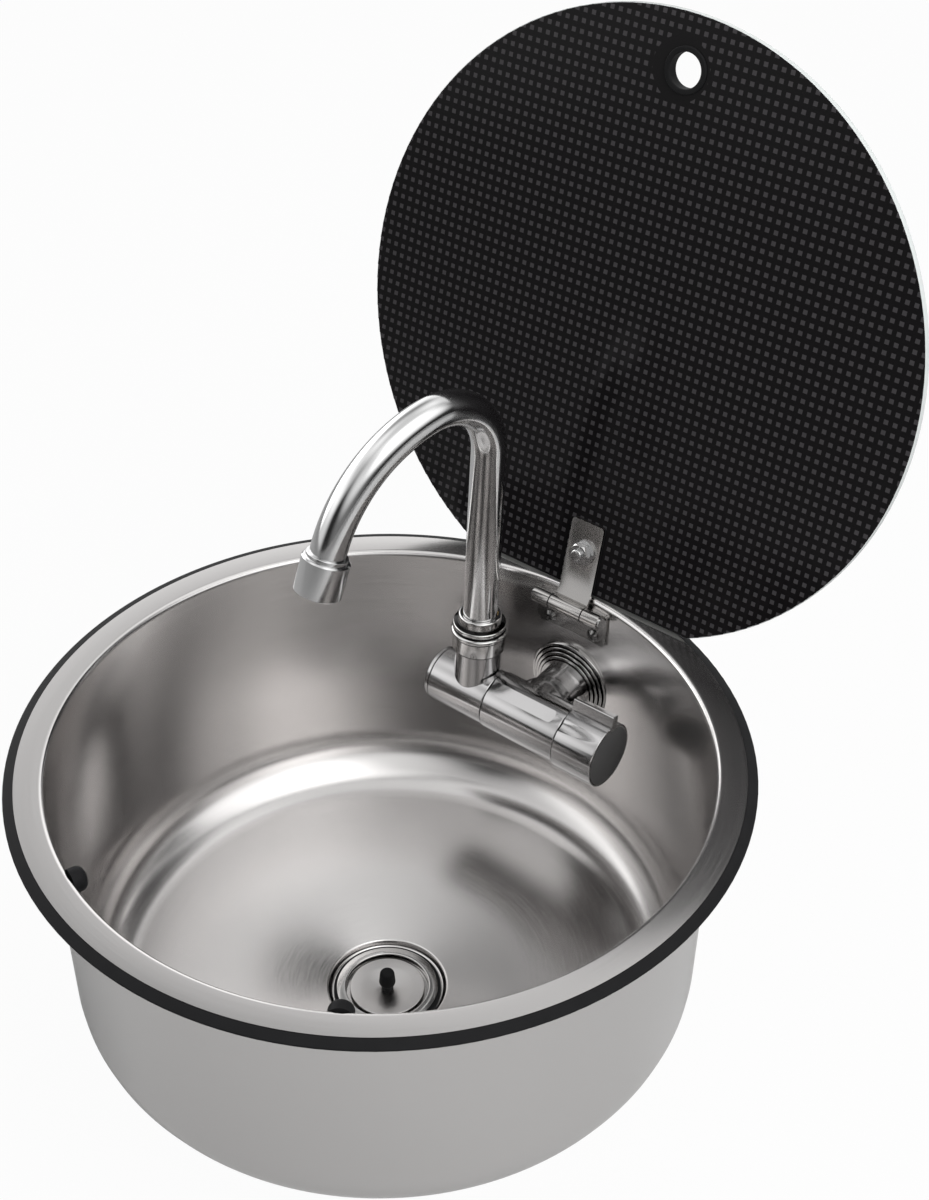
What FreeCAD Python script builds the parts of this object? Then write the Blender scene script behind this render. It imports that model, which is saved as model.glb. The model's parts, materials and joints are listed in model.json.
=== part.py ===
import FreeCAD, Part
import math
import os

from FreeCAD import Placement, Rotation, Vector

# A round drop-in camper sink with a hinged glass lid, a folding tap and a strainer waste.
# Millimetres. The origin is the bowl's centre in the worktop plane, under the rim gasket.
# +Z is up, the lid's hinge is at +Y, and +X is to the right of someone at the front edge.

X_AXIS = Vector(1, 0, 0)
Y_AXIS = Vector(0, 1, 0)
Z_AXIS = Vector(0, 0, 1)

# Shared allowances
CUT = 5.0  # how far every cutting tool overruns the wall it cuts
RUN_FIT = 0.05  # radial clearance of a turning fit
FREE_GAP = 0.3  # gap between faces that pass each other
SEAT_GAP = 0.15  # gap behind a piece that is seated on a curved wall
SEAL_PLAY = 0.1  # room for a sealing ring in its groove

# Bowl, pressed from one sheet
WALL_TOP_R = 174.4
RIM_W = 15.6
SHEET = 0.8
WALL_DRAFT_DEG = 1.3
ROLL_R = 3.0
BOWL_DEPTH = 163.1
CORNER_R = 34.0
FLOOR_FALL = 16.0
RECESS_LEAN = 1.6
RECESS_DEPTH = 3.6
RECESS_ROLL = 1.6
SEAT_MARGIN = 1.7

# Rim gasket
GASKET_T = 2.4
GASKET_LAP = 5.6
GASKET_WALL_GAP = 4.2
GASKET_EDGE_T = 1.0
GASKET_LIP_GAP = 0.25
GASKET_LIP_T = 0.6

# Lid bumpers, plugged into the wall under the closed lid
BUMPER_DEGS = (-112.0, -57.0)
BUMPER_R = 6.5
BUMPER_REACH = 8.2
BUMPER_ROUND = 1.4
BUMPER_NECK_R = 2.4
BUMPER_FOOT_R = 4.0
BUMPER_FOOT_T = 1.6

# Hinge
HINGE_X = 1.0
PIN_DROP = 6.4
PIN_INSET = 8.4
PIN_R = 2.0
PIN_HEAD_R = 3.2
PIN_HEAD_T = 1.0
KNUCKLE_R = 4.5
BARREL_L = 44.8
MIDDLE_KNUCKLE_L = 22.0
PLATE_T = 1.5
PLATE_W = 47.4
PLATE_DROP = 5.0
PLATE_H = 23.0
PLATE_ROUND = 3.0
HINGE_SCREW_PITCH = 30.0
HINGE_SCREW_DROP = 22.7
SCREW_R = 2.0
SCREW_HEAD_R = 3.8
SCREW_HEAD_T = 2.2
SCREW_SLOT_W = 1.0
SLOT_REACH_SHARE = 0.6  # of the screw head's radius
SCREW_NUT_AF = 7.0
SCREW_NUT_T = 3.2
SCREW_TAIL = 1.4

# Lid
LID_GAP = 1.5
LID_RISE = 1.0
LID_T = 5.0
LID_EDGE_ROUND = 0.9
LID_OPEN_DEG = 104.0
LID_STOP_GAP = 0.3
GRIP_X = 3.0
GRIP_INSET = 29.0
GRIP_HOLE_R = 9.3
GRIP_RUBBER_R = 12.4
GRIP_RUBBER_T = 1.2
GRIP_ROUND_SHARE = 0.6  # of the rubber's thickness
GRIP_WALL = 1.5
STRAP_W = 21.4
STRAP_T = 1.6
STRAP_L = 52.855
STRAP_ROUND = 2.0
STRAP_BEND_START = 5.0
STRAP_BEND_END = 10.5
PAD_T = 0.8
BOLT_INSET = 34.355
BOLT_R = 3.5
BOLT_HEAD_R = 8.0
BOLT_HEAD_T = 3.0
BOLT_DOME_SHARE = 0.8  # of the head's thickness, its rounded edge
BOLT_TAIL = 2.4
BOLT_WASHER_R = 7.8
BOLT_WASHER_T = 1.0
BOLT_NUT_AF = 11.0
BOLT_NUT_T = 4.6
SLEEVE_WALL = 1.5

# Tap, its axis parallel to X, seen from its left end to its knob
TAP_X = 1.5
TAP_DROP = 65.2
TAP_STANDOFF = 41.0
ELBOW_LEFT_X = -61.5
ELBOW_RIGHT_X = -22.4
BODY_RIGHT_X = 29.0
KNOB_RIGHT_X = 56.5
ELBOW_R = 17.0
BODY_R = 17.8
KNOB_R = 19.6
EDGE_ROUND = 0.8
END_CAP_R = 16.2
END_CAP_T = 3.0
JOURNAL_R = 11.0
WATERWAY_R = 6.5
INLET_BORE_R = 5.0
RETAINER_R = 13.2
RETAINER_T = 1.4
RETAINER_SCREW_R = 2.5
RETAINER_SCREW_L = 10.0
RETAINER_HEAD_R = 4.6
RETAINER_HEAD_T = 1.8
END_RECESS_L = 5.0
O_RING_R = 0.9
PORT_R = 4.0
PANEL_DEPTH = 0.75
PANEL_INSET = 6.0
PANEL_ROUND = 2.6
PANEL_W = 8.4
PANEL_TILT_DEG = 25.0
NECK_R = 15.0
NECK_FLARE = 2.4
NECK_ROOT_SHARE = 0.75  # of the barrel's radius, where the neck's wide root ends
NECK_FLARE_SHARE = 1.2  # of the barrel's radius, where the neck is at its own radius
SHANK_R = 10.4
SHANK_HOLE_GAP = 0.4
SHANK_L = 26.0
FLANGE_R = 26.6
FLANGE_STEP = 2.3
FLANGE_BASE_T = 2.5
FLANGE_RISE = 1.2
FLANGE_STEPS = 4
FLANGE_ROUND = 0.45
SHANK_SEAL_T = 2.5
SHANK_SEAL_R = 16.0
SHANK_WASHER_T = 1.5
SHANK_NUT_AF = 30.0
SHANK_NUT_T = 8.0
TAIL_R = 6.0
TAIL_BORE_R = 4.6
TAIL_L = 32.0
TAIL_NUT_AF = 25.0
TAIL_NUT_T = 12.0
TAIL_NUT_WALL = 2.5
TAIL_FLANGE_T = 2.0
TAIL_NECK_R = 7.2
TAIL_NECK_SPARE = 2.0

# Valve and knob
CARTRIDGE_R = 11.6
CARTRIDGE_L = 22.0
DISC_R = 8.4
DISC_T = 2.6
SPINDLE_R = 4.0
SPINDLE_HEAD_R = 7.6
SPINDLE_HEAD_T = 3.4
SPINDLE_OUT = 16.0
KNOB_RECESS_R = 15.5
KNOB_RECESS_L = 5.0
KNOB_CAP_T = 1.6
KNOB_RIM = 0.8
KNOB_SCREW_R = 1.8
KNOB_SCREW_HEAD_R = 3.4
KNOB_SCREW_L = 9.0
KNOB_WELL_R = 6.0
KNOB_WELL_L = 8.0
KNOB_TURN_DEG = -8.0
RIDGE_ROOT_W = 6.2
RIDGE_TOP_W = 4.4
RIDGE_H = 8.0
RIDGE_SINK = 3.0
RIDGE_START = 0.8
RIDGE_OVERHANG = 0.8
GROOVE_R = 8.0
GROOVE_DEPTH = 1.7
GROOVE_DEG = 40.0
GROOVE_L = 24.0

# Spout, built upright on the tap axis and then leaned back
SPOUT_X = -38.0
SPOUT_LEAN_DEG = 3.0
SPOUT_AIM_DEG = 258.0
SOCKET_R = 13.7
SOCKET_TOP = 33.0
SPOUT_R = 10.0
SPOUT_WALL = 1.4
FOOT_R = 11.6
FOOT_BOTTOM = 14.0
SPOUT_RING_SHARE = 0.4  # a ring's section radius, of the foot's wall
RISER_TOP = 165.0
CROOK_R = 37.8
CROOK_DEG = 100.0
SWEEP_R = 83.0
SWEEP_DEG = 62.5
SPOUT_TIP_L = 8.0
COLLAR_NUT_R = 15.5
COLLAR_NUT_TOP = 56.0
COLLAR_BEAD_R = 0.9
COLLAR_LIP_T = 1.6
COLLAR_TOP_ROUND = 2.4
AERATOR_R = 13.3
AERATOR_L = 23.0
AERATOR_OVERLAP = 5.0
AERATOR_WALL = 1.6
AERATOR_STEP_R = 11.6
AERATOR_STEP_L = 2.4
AERATOR_INSERT_L = 9.0
AERATOR_SLOTS = 8

# Waste and strainer
WASTE_THROAT_R = 23.7
WASTE_HOLE_PLAY = 0.8
WASTE_FLANGE_W = 3.8
WASTE_FLANGE_T = 1.4
WASTE_TUBE_WALL = 1.5
WASTE_TUBE_L = 24.0
WASTE_SHELF_DROP = 5.0
WASTE_SHELF_W = 2.2
WASTE_SHELF_T = 1.4
WASTE_GASKET_SHOW = 1.7
WASTE_GASKET_T = 1.4
WASTE_WASHER_W = 8.8
WASTE_WASHER_T = 2.5
WASTE_NUT_W = 9.8
WASTE_NUT_T = 8.0
WASTE_NUT_LUGS = 6
WASTE_NUT_LUG_W = 6.0
CUP_WALL = 2.2
CUP_L = 22.0
CUP_BOTTOM_DROP = 10.0
SPIGOT_R = 14.0
SPIGOT_L = 28.0
COVER_GAP = 2.4
COVER_T = 1.0
COVER_DISH = 2.2
COVER_BEND_SHARE = 0.7  # where along its radius the cover's dish flattens out
COVER_FACE_DROP = 1.0
STRAINER_KNOB_R = 3.4
STRAINER_KNOB_H = 14.5
STRAINER_KNOB_BELLY_R = 4.8
STRAINER_KNOB_TOP_R = 4.0
STRAINER_NECK_SHARE = 0.24  # of the knob's height, where its neck ends
STRAINER_BELLY_SHARE = 0.4  # of the knob's height, where it is widest
BASKET_GAP = 3.3
BASKET_T = 1.0
BASKET_H = 17.0
BASKET_LEAN = 5.4
BASKET_HOLE_R = 1.6
BASKET_RING_SHARES = (0.427, 0.773)  # of the floor's radius
BASKET_RING_HOLES = (6, 10)
STEM_R = 2.6
STEM_COLLAR_R = 4.4
STEM_COLLAR_T = 2.0

# Levels and places that follow from the sizes above
RIM_TOP = GASKET_T + SHEET
RIM_R = WALL_TOP_R + RIM_W
GASKET_OUT_R = RIM_R + GASKET_LAP
GASKET_IN_R = WALL_TOP_R + GASKET_WALL_GAP
FLOOR_Z = RIM_TOP - BOWL_DEPTH
SEAT_Z = FLOOR_Z - FLOOR_FALL - RECESS_DEPTH
WASTE_TUBE_R = WASTE_THROAT_R + WASTE_TUBE_WALL
WASTE_HOLE_R = WASTE_TUBE_R + WASTE_HOLE_PLAY
WASTE_FLANGE_R = WASTE_TUBE_R + WASTE_FLANGE_W
WASTE_GASKET_R = WASTE_FLANGE_R + WASTE_GASKET_SHOW
SEAT_R = WASTE_GASKET_R + SEAT_MARGIN
RECESS_R = SEAT_R + RECESS_LEAN
COVER_R = WASTE_THROAT_R - COVER_GAP
BASKET_R = WASTE_THROAT_R - BASKET_GAP
BASKET_FLOOR_R = BASKET_R - BASKET_LEAN
LID_R = WALL_TOP_R - LID_GAP
LID_UNDER_Z = RIM_TOP + LID_RISE
GRIP_Y = GRIP_INSET - LID_R


def wall_r(z):
    """The inside radius of the bowl's wall at a height."""
    return WALL_TOP_R - (RIM_TOP - z) * math.tan(math.radians(WALL_DRAFT_DEG))


PIN_Z = RIM_TOP - PIN_DROP
PIN_Y = wall_r(PIN_Z) - PIN_INSET
STRAP_END_Y = PIN_Y - STRAP_L
BOLT_Y = PIN_Y - BOLT_INSET
TAP_Z = RIM_TOP - TAP_DROP
TAP_Y = wall_r(TAP_Z) - TAP_STANDOFF
WALL_AT_TAP = wall_r(TAP_Z)
BUMPER_Z = LID_UNDER_Z - FREE_GAP - BUMPER_R


def lid_flat_y():
    """Where the lid's straight edge is cut, so that it stands on the rim when open."""
    tilt = math.radians(LID_OPEN_DEG)
    top_rise = LID_UNDER_Z + LID_T - PIN_Z
    climb = RIM_TOP + LID_STOP_GAP - PIN_Z
    return PIN_Y - (climb - top_rise * math.cos(tilt)) / math.sin(tilt)


def corner(before, point, after):
    """The ends and the middle of the tangent arc that rounds one corner of an outline."""
    radius = point[2]
    here = Vector(point[0], point[1], 0)
    back = (Vector(before[0], before[1], 0) - here).normalize()
    ahead = (Vector(after[0], after[1], 0) - here).normalize()
    half = back.getAngle(ahead) / 2
    cut = radius / math.tan(half)
    middle = (back + ahead).normalize() * (radius / math.sin(half) - radius)
    return here + back * cut, here + middle, here + ahead * cut


def outline_edges(points, closed):
    """Straight edges through (a, b, radius) points, with an arc where the radius is set."""
    count = len(points)
    stops = []
    for i, point in enumerate(points):
        inner = closed or 0 < i < count - 1
        if point[2] and inner:
            stops.append(corner(points[i - 1], point, points[(i + 1) % count]))
        else:
            here = Vector(point[0], point[1], 0)
            stops.append((here, None, here))
    edges = []
    for i, (start, middle, end) in enumerate(stops):
        if middle:
            edges.append(Part.Arc(start, middle, end).toShape())
        if closed or i < count - 1:
            following = stops[(i + 1) % count][0]
            if end.distanceToPoint(following) > Part.Precision.confusion():
                edges.append(Part.makeLine(end, following))
    return edges


def turned(points):
    """A solid turned about Z from a closed (radius, height, corner radius) outline."""
    face = Part.Face(Part.Wire(outline_edges(points, True)))
    face.rotate(Vector(0, 0, 0), X_AXIS, 90)
    return face.revolve(Vector(0, 0, 0), Z_AXIS, 360)


def shifted(points, gap):
    """An open outline moved to its left by a gap, its corner radii changed to match."""

    def heading(a, b):
        return math.atan2(b[1] - a[1], b[0] - a[0])

    moved = []
    last = len(points) - 1
    for i, (a, b, radius) in enumerate(points):
        before = heading(points[max(i - 1, 0)], points[max(i, 1)])
        after = heading(points[min(i, last - 1)], points[min(i + 1, last)])
        turn = (after - before + math.pi) % (2 * math.pi) - math.pi
        aim = before + turn / 2 + math.pi / 2
        reach = gap / math.cos(turn / 2)
        radius = radius - math.copysign(gap, turn) if radius else 0
        moved.append((a + reach * math.cos(aim), b + reach * math.sin(aim), radius))
    return moved


def turned_sheet(points, thickness):
    """A sheet turned about Z, its visible side on the path and its metal to the left."""
    near = outline_edges(points, False)
    far_points = shifted(points, thickness)
    far = outline_edges(far_points, False)

    def close(a, b):
        return Part.makeLine(Vector(a[0], a[1], 0), Vector(b[0], b[1], 0))

    rim = close(points[0], far_points[0])
    end = close(points[-1], far_points[-1])
    wire = Part.Wire(Part.__sortEdges__(near + [end] + far + [rim]))
    face = Part.Face(wire)
    face.rotate(Vector(0, 0, 0), X_AXIS, 90)
    return face.revolve(Vector(0, 0, 0), Z_AXIS, 360)


def placed(shape, at, axis):
    """A shape built about Z, with its Z turned to an axis and its origin moved to a point."""
    moved = shape.copy()
    moved.Placement = Placement(at, Rotation(Z_AXIS, axis)).multiply(moved.Placement)
    return moved


def cylinder(radius, start, end, at=Vector(0, 0, 0), axis=Z_AXIS):
    """A cylinder between two distances along an axis through a point."""
    low, high = min(start, end), max(start, end)
    return Part.makeCylinder(radius, high - low, at + axis * low, axis)


def tube(outer, inner, start, end, at=Vector(0, 0, 0), axis=Z_AXIS):
    """A plain ring or tube between two distances along an axis."""
    bore = cylinder(inner, min(start, end) - CUT, max(start, end) + CUT, at, axis)
    return cylinder(outer, start, end, at, axis).cut(bore)


def block(x, y, z):
    """A box from three (low, high) pairs."""
    size = [high - low for low, high in (x, y, z)]
    return Part.makeBox(size[0], size[1], size[2], Vector(x[0], y[0], z[0]))


def hexagon(across_flats, start, end, at=Vector(0, 0, 0), axis=Z_AXIS):
    """A six-sided prism with turned chamfers, between two distances along an axis."""
    across_corners = across_flats / math.cos(math.radians(30))
    ring = [
        Vector(math.cos(math.radians(60 * k)), math.sin(math.radians(60 * k)), 0)
        for k in range(6)
    ]
    points = [p * (across_corners / 2) for p in ring]
    prism = Part.Face(Part.makePolygon(points + points[:1])).extrude(Z_AXIS * (end - start))
    bevel = (across_corners - across_flats) / 2
    height = end - start
    r = across_corners / 2
    limit = turned(
        [
            (0, 0, 0),
            (r - bevel, 0, 0),
            (r, bevel, 0),
            (r, height - bevel, 0),
            (r - bevel, height, 0),
            (0, height, 0),
        ]
    )
    return placed(prism.common(limit), at + axis * start, axis)


def fused(*shapes):
    """One clean solid from several that touch or overlap."""
    return shapes[0].fuse(list(shapes[1:])).removeSplitter()


def rounded_prism(x, y, z, radius, along):
    """A box whose four edges parallel to one axis are rounded."""
    box = block(x, y, z)
    edges = [
        e
        for e in box.Edges
        if abs((e.Vertexes[1].Point - e.Vertexes[0].Point).normalize().dot(along)) > 0.5
    ]
    return box.makeFillet(radius, edges)


def bowl_path():
    """The bowl's inside surface, from the rim's edge down to the waste hole."""
    return [
        (RIM_R, RIM_TOP, 0),
        (WALL_TOP_R, RIM_TOP, ROLL_R),
        (wall_r(FLOOR_Z), FLOOR_Z, CORNER_R),
        (RECESS_R, FLOOR_Z - FLOOR_FALL, RECESS_ROLL),
        (SEAT_R, SEAT_Z, RECESS_ROLL),
        (WASTE_HOLE_R, SEAT_Z, 0),
    ]


def wall_space(shrink):
    """The space inside the bowl's tapered wall, drawn in by a thickness."""
    top = RIM_TOP - ROLL_R
    bottom = FLOOR_Z + CORNER_R
    return turned(
        [
            (0, bottom, 0),
            (wall_r(bottom) - shrink, bottom, 0),
            (wall_r(top) - shrink, top, 0),
            (0, top, 0),
        ]
    )


def bumper_frames():
    """The wall point and the outward direction of each lid bumper."""
    for angle in BUMPER_DEGS:
        out = Vector(math.cos(math.radians(angle)), math.sin(math.radians(angle)), 0)
        yield out * wall_r(BUMPER_Z) + Z_AXIS * BUMPER_Z, out


def hinge_screw_frames():
    """The wall point and the outward direction of each hinge screw."""
    z = RIM_TOP - HINGE_SCREW_DROP
    for side in (-1, 1):
        x = HINGE_X + side * HINGE_SCREW_PITCH / 2
        out = Vector(x, math.sqrt(wall_r(z) ** 2 - x**2), 0).normalize()
        yield out * wall_r(z) + Z_AXIS * z, out


def bowl():
    """The pressed bowl, its waste hole and the holes in its wall."""
    shape = turned_sheet(bowl_path(), SHEET)
    shank = Vector(TAP_X, WALL_AT_TAP, TAP_Z)
    shape = shape.cut(cylinder(SHANK_R + SHANK_HOLE_GAP, -CUT, CUT, shank, Y_AXIS))
    for at, out in hinge_screw_frames():
        shape = shape.cut(cylinder(SCREW_R + RUN_FIT, -CUT, CUT, at, out))
    for at, out in bumper_frames():
        shape = shape.cut(cylinder(BUMPER_NECK_R + RUN_FIT, -CUT, CUT, at, out))
    return shape


def rim_gasket():
    """The rubber ring between the rim and the worktop, with its flared lip."""
    lip_r = RIM_R + GASKET_LIP_GAP
    return turned(
        [
            (GASKET_IN_R, 0, 0),
            (GASKET_OUT_R, 0, 0),
            (GASKET_OUT_R, GASKET_EDGE_T, GASKET_EDGE_T / 2),
            (lip_r, GASKET_T + GASKET_LIP_T, 0),
            (lip_r, GASKET_T, 0),
            (GASKET_IN_R, GASKET_T, 0),
        ]
    )


def lid_bumpers():
    """The rubber pegs, each with a neck through the wall and a foot behind it."""
    foot = SHEET + 2 * SEAT_GAP
    profile = [
        (0, -BUMPER_REACH, 0),
        (BUMPER_R, -BUMPER_REACH, BUMPER_ROUND),
        (BUMPER_R, -SEAT_GAP, 0),
        (BUMPER_NECK_R, -SEAT_GAP, 0),
        (BUMPER_NECK_R, foot, 0),
        (BUMPER_FOOT_R, foot, 0),
        (BUMPER_NECK_R, foot + BUMPER_FOOT_T, 0),
        (0, foot + BUMPER_FOOT_T, 0),
    ]
    return Part.makeCompound([placed(turned(profile), at, out) for at, out in bumper_frames()])


def knuckle_ring(low, high):
    """A hinge knuckle around the pin, between two places along X."""
    at = Vector(0, PIN_Y, PIN_Z)
    return tube(KNUCKLE_R, PIN_R + RUN_FIT, low, high, at, X_AXIS)


def hinge_plate():
    """The wall plate, bent to the wall's curve, with its two end knuckles."""
    top = RIM_TOP - PLATE_DROP
    face = rounded_prism(
        (HINGE_X - PLATE_W / 2, HINGE_X + PLATE_W / 2),
        (PIN_Y, WALL_TOP_R + CUT),
        (top - PLATE_H, top),
        PLATE_ROUND,
        Y_AXIS,
    )
    plate = face.common(wall_space(SEAT_GAP)).cut(wall_space(SEAT_GAP + PLATE_T))
    parts = [plate]
    for side in (-1, 1):
        near = HINGE_X + side * (MIDDLE_KNUCKLE_L / 2 + FREE_GAP)
        far = HINGE_X + side * BARREL_L / 2
        low, high = min(near, far), max(near, far)
        leaf = block((low, high), (PIN_Y, WALL_TOP_R + CUT), (top - PLATE_T, top))
        leaf = leaf.common(wall_space(SEAT_GAP))
        bore = cylinder(PIN_R + RUN_FIT, low - CUT, high + CUT, Vector(0, PIN_Y, PIN_Z), X_AXIS)
        parts += [knuckle_ring(low, high), leaf.cut(bore)]
    shape = fused(*parts)
    for at, out in hinge_screw_frames():
        shape = shape.cut(cylinder(SCREW_R + RUN_FIT, -2 * CUT, CUT, at, out))
    return shape


def hinge_pin():
    """The pin that the lid turns on, with a head at each end."""
    at = Vector(HINGE_X, PIN_Y, PIN_Z)
    half = BARREL_L / 2
    shaft = cylinder(PIN_R, -half, half, at, X_AXIS)
    heads = [
        cylinder(PIN_HEAD_R, side * half, side * (half + PIN_HEAD_T), at, X_AXIS)
        for side in (-1, 1)
    ]
    return fused(shaft, *heads)


def hinge_screws():
    """The two cross-recess screws of the wall plate, heads inside the bowl."""
    seat = -PLATE_T - 2 * SEAT_GAP
    tail = SHEET + SCREW_NUT_T + SCREW_TAIL
    head = turned(
        [
            (0, seat - SCREW_HEAD_T, 0),
            (SCREW_HEAD_R / 2, seat - SCREW_HEAD_T, 0),
            (SCREW_HEAD_R, seat - SCREW_HEAD_T / 3, 0),
            (SCREW_HEAD_R, seat, 0),
            (SCREW_R, seat, 0),
            (SCREW_R, tail, 0),
            (0, tail, 0),
        ]
    )
    depth = SCREW_HEAD_T / 2
    for turn in (45, 135):
        slot = block(
            (-SCREW_HEAD_R * SLOT_REACH_SHARE, SCREW_HEAD_R * SLOT_REACH_SHARE),
            (-SCREW_SLOT_W / 2, SCREW_SLOT_W / 2),
            (seat - SCREW_HEAD_T - CUT, seat - SCREW_HEAD_T + depth),
        )
        slot.rotate(Vector(0, 0, 0), Z_AXIS, turn)
        head = head.cut(slot)
    return Part.makeCompound([placed(head, at, out) for at, out in hinge_screw_frames()])


def hinge_screw_nuts():
    """The nuts of the hinge screws, outside the bowl's wall."""
    nuts = []
    start = SHEET + SEAT_GAP
    end = start + SCREW_NUT_T
    for at, out in hinge_screw_frames():
        nut = hexagon(SCREW_NUT_AF, start, end, at, out)
        nuts.append(nut.cut(cylinder(SCREW_R, start - CUT, end + CUT, at, out)))
    return Part.makeCompound(nuts)


def opened(shape):
    """A piece of the closed lid, turned up to its open rest place."""
    moved = shape.copy()
    moved.rotate(Vector(0, PIN_Y, PIN_Z), X_AXIS, -LID_OPEN_DEG)
    return moved


def bolt_axis_point(z):
    """A point on the lid bolt's axis with the lid closed."""
    return Vector(HINGE_X, BOLT_Y, z)


def lid_glass():
    """The round glass with its straight hinge edge, grip hole and bolt hole."""
    disc = cylinder(LID_R, LID_UNDER_Z, LID_UNDER_Z + LID_T)
    flat = lid_flat_y()
    far = LID_R + CUT
    depth = (LID_UNDER_Z - CUT, LID_UNDER_Z + LID_T + CUT)
    disc = disc.cut(block((-far, far), (flat, far), depth))
    middle = LID_UNDER_Z + LID_T / 2
    rims = [e for e in disc.Edges if abs(e.CenterOfMass.z - middle) > LID_T / 4]
    disc = disc.makeFillet(LID_EDGE_ROUND, rims)
    for x, y, radius in (
        (GRIP_X, GRIP_Y, GRIP_HOLE_R + GRIP_WALL),
        (HINGE_X, BOLT_Y, BOLT_R + SLEEVE_WALL),
    ):
        at = Vector(x, y, LID_UNDER_Z)
        disc = disc.cut(cylinder(radius, -CUT, LID_T + CUT, at))
    return opened(disc)


def lid_grommet():
    """The rubber ring that lines the grip hole and laps both faces of the glass."""
    half = LID_T / 2 + GRIP_RUBBER_T
    groove_r = GRIP_HOLE_R + GRIP_WALL
    round_r = GRIP_RUBBER_T * GRIP_ROUND_SHARE
    ring = turned(
        [
            (GRIP_HOLE_R, -half, round_r),
            (GRIP_RUBBER_R, -half, round_r),
            (GRIP_RUBBER_R, -LID_T / 2, 0),
            (groove_r, -LID_T / 2, 0),
            (groove_r, LID_T / 2, 0),
            (GRIP_RUBBER_R, LID_T / 2, 0),
            (GRIP_RUBBER_R, half, round_r),
            (GRIP_HOLE_R, half, round_r),
        ]
    )
    return opened(placed(ring, Vector(GRIP_X, GRIP_Y, LID_UNDER_Z + LID_T / 2), Z_AXIS))


def strap_top_z():
    """The strap's upper face under the rubber pad, with the lid closed."""
    return LID_UNDER_Z - PAD_T


def lid_strap():
    """The middle knuckle and its strap, joggled up to the underside of the glass."""
    top = strap_top_z()
    root_top = PIN_Z + KNUCKLE_R
    bend_near = PIN_Y - STRAP_BEND_START
    bend_far = PIN_Y - STRAP_BEND_END
    points = [
        (PIN_Y, root_top, 0),
        (bend_near, root_top, 0),
        (bend_far, top, 0),
        (STRAP_END_Y, top, 0),
        (STRAP_END_Y, top - STRAP_T, 0),
        (bend_far, top - STRAP_T, 0),
        (bend_near, root_top - STRAP_T, 0),
        (PIN_Y, root_top - STRAP_T, 0),
    ]
    ring = [Vector(HINGE_X - STRAP_W / 2, y, z) for y, z, _ in points]
    leaf = Part.Face(Part.makePolygon(ring + ring[:1])).extrude(X_AXIS * STRAP_W)
    corners = [
        e
        for e in leaf.Edges
        if abs(e.CenterOfMass.y - STRAP_END_Y) < STRAP_T / 4 and e.Length < 2 * STRAP_T
    ]
    leaf = leaf.makeFillet(STRAP_ROUND, corners)
    half = MIDDLE_KNUCKLE_L / 2
    knuckle = knuckle_ring(HINGE_X - half, HINGE_X + half)
    bore = cylinder(PIN_R + RUN_FIT, -LID_R, LID_R, Vector(0, PIN_Y, PIN_Z), X_AXIS)
    shape = fused(knuckle, leaf.cut(bore))
    hole = cylinder(BOLT_R, top - STRAP_T - CUT, top + CUT, bolt_axis_point(0))
    return opened(shape.cut(hole))


def strap_pad():
    """The thin rubber pad between the strap and the glass."""
    side = STRAP_W / 2
    pad = rounded_prism(
        (HINGE_X - side, HINGE_X + side),
        (STRAP_END_Y, lid_flat_y() - PAD_T),
        (strap_top_z(), LID_UNDER_Z),
        STRAP_ROUND,
        Z_AXIS,
    )
    return opened(pad.cut(cylinder(BOLT_R, -CUT, LID_T + CUT, bolt_axis_point(0))))


def lid_bolt():
    """The low-headed bolt through the glass, its head on the outside of the lid."""
    head_z = LID_UNDER_Z + LID_T + BOLT_WASHER_T
    tail_z = strap_top_z() - STRAP_T - BOLT_WASHER_T - BOLT_NUT_T - BOLT_TAIL
    bolt = turned(
        [
            (0, tail_z, 0),
            (BOLT_R, tail_z, BOLT_R / 3),
            (BOLT_R, head_z, 0),
            (BOLT_HEAD_R, head_z, 0),
            (BOLT_HEAD_R, head_z + BOLT_HEAD_T, BOLT_HEAD_T * BOLT_DOME_SHARE),
            (0, head_z + BOLT_HEAD_T, 0),
        ]
    )
    return opened(placed(bolt, bolt_axis_point(0), Z_AXIS))


def lid_bolt_sleeve():
    """The plastic sleeve that keeps the bolt off the glass, with a washer under the head."""
    top = LID_UNDER_Z + LID_T
    ring = turned(
        [
            (BOLT_R, LID_UNDER_Z, 0),
            (BOLT_R + SLEEVE_WALL, LID_UNDER_Z, 0),
            (BOLT_R + SLEEVE_WALL, top, 0),
            (BOLT_HEAD_R, top, 0),
            (BOLT_HEAD_R, top + BOLT_WASHER_T, 0),
            (BOLT_R, top + BOLT_WASHER_T, 0),
        ]
    )
    return opened(placed(ring, bolt_axis_point(0), Z_AXIS))


def lid_bolt_washer():
    """The steel washer between the strap and the lid nut."""
    top = strap_top_z() - STRAP_T
    return opened(tube(BOLT_WASHER_R, BOLT_R, top - BOLT_WASHER_T, top, bolt_axis_point(0)))


def lid_bolt_nut():
    """The six-sided nut on the strap."""
    top = strap_top_z() - STRAP_T - BOLT_WASHER_T
    nut = hexagon(BOLT_NUT_AF, top - BOLT_NUT_T, top, bolt_axis_point(0))
    return opened(nut.cut(cylinder(BOLT_R, top - BOLT_NUT_T - CUT, top + CUT, bolt_axis_point(0))))


def tap_line():
    """A point on the tap's axis at X zero."""
    return Vector(0, TAP_Y, TAP_Z)


def on_tap(profile):
    """A shape turned about the tap's axis, its heights measured along X."""
    return placed(turned(profile), tap_line(), X_AXIS)


def o_ring(inner_r, x):
    """A rubber ring on the tap's axis."""
    ring = Part.makeTorus(inner_r + O_RING_R, O_RING_R)
    return placed(ring, tap_line() + X_AXIS * x, X_AXIS)


def journal_end_x():
    """The left end of the journal that the elbow turns on."""
    return ELBOW_LEFT_X + END_RECESS_L


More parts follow.
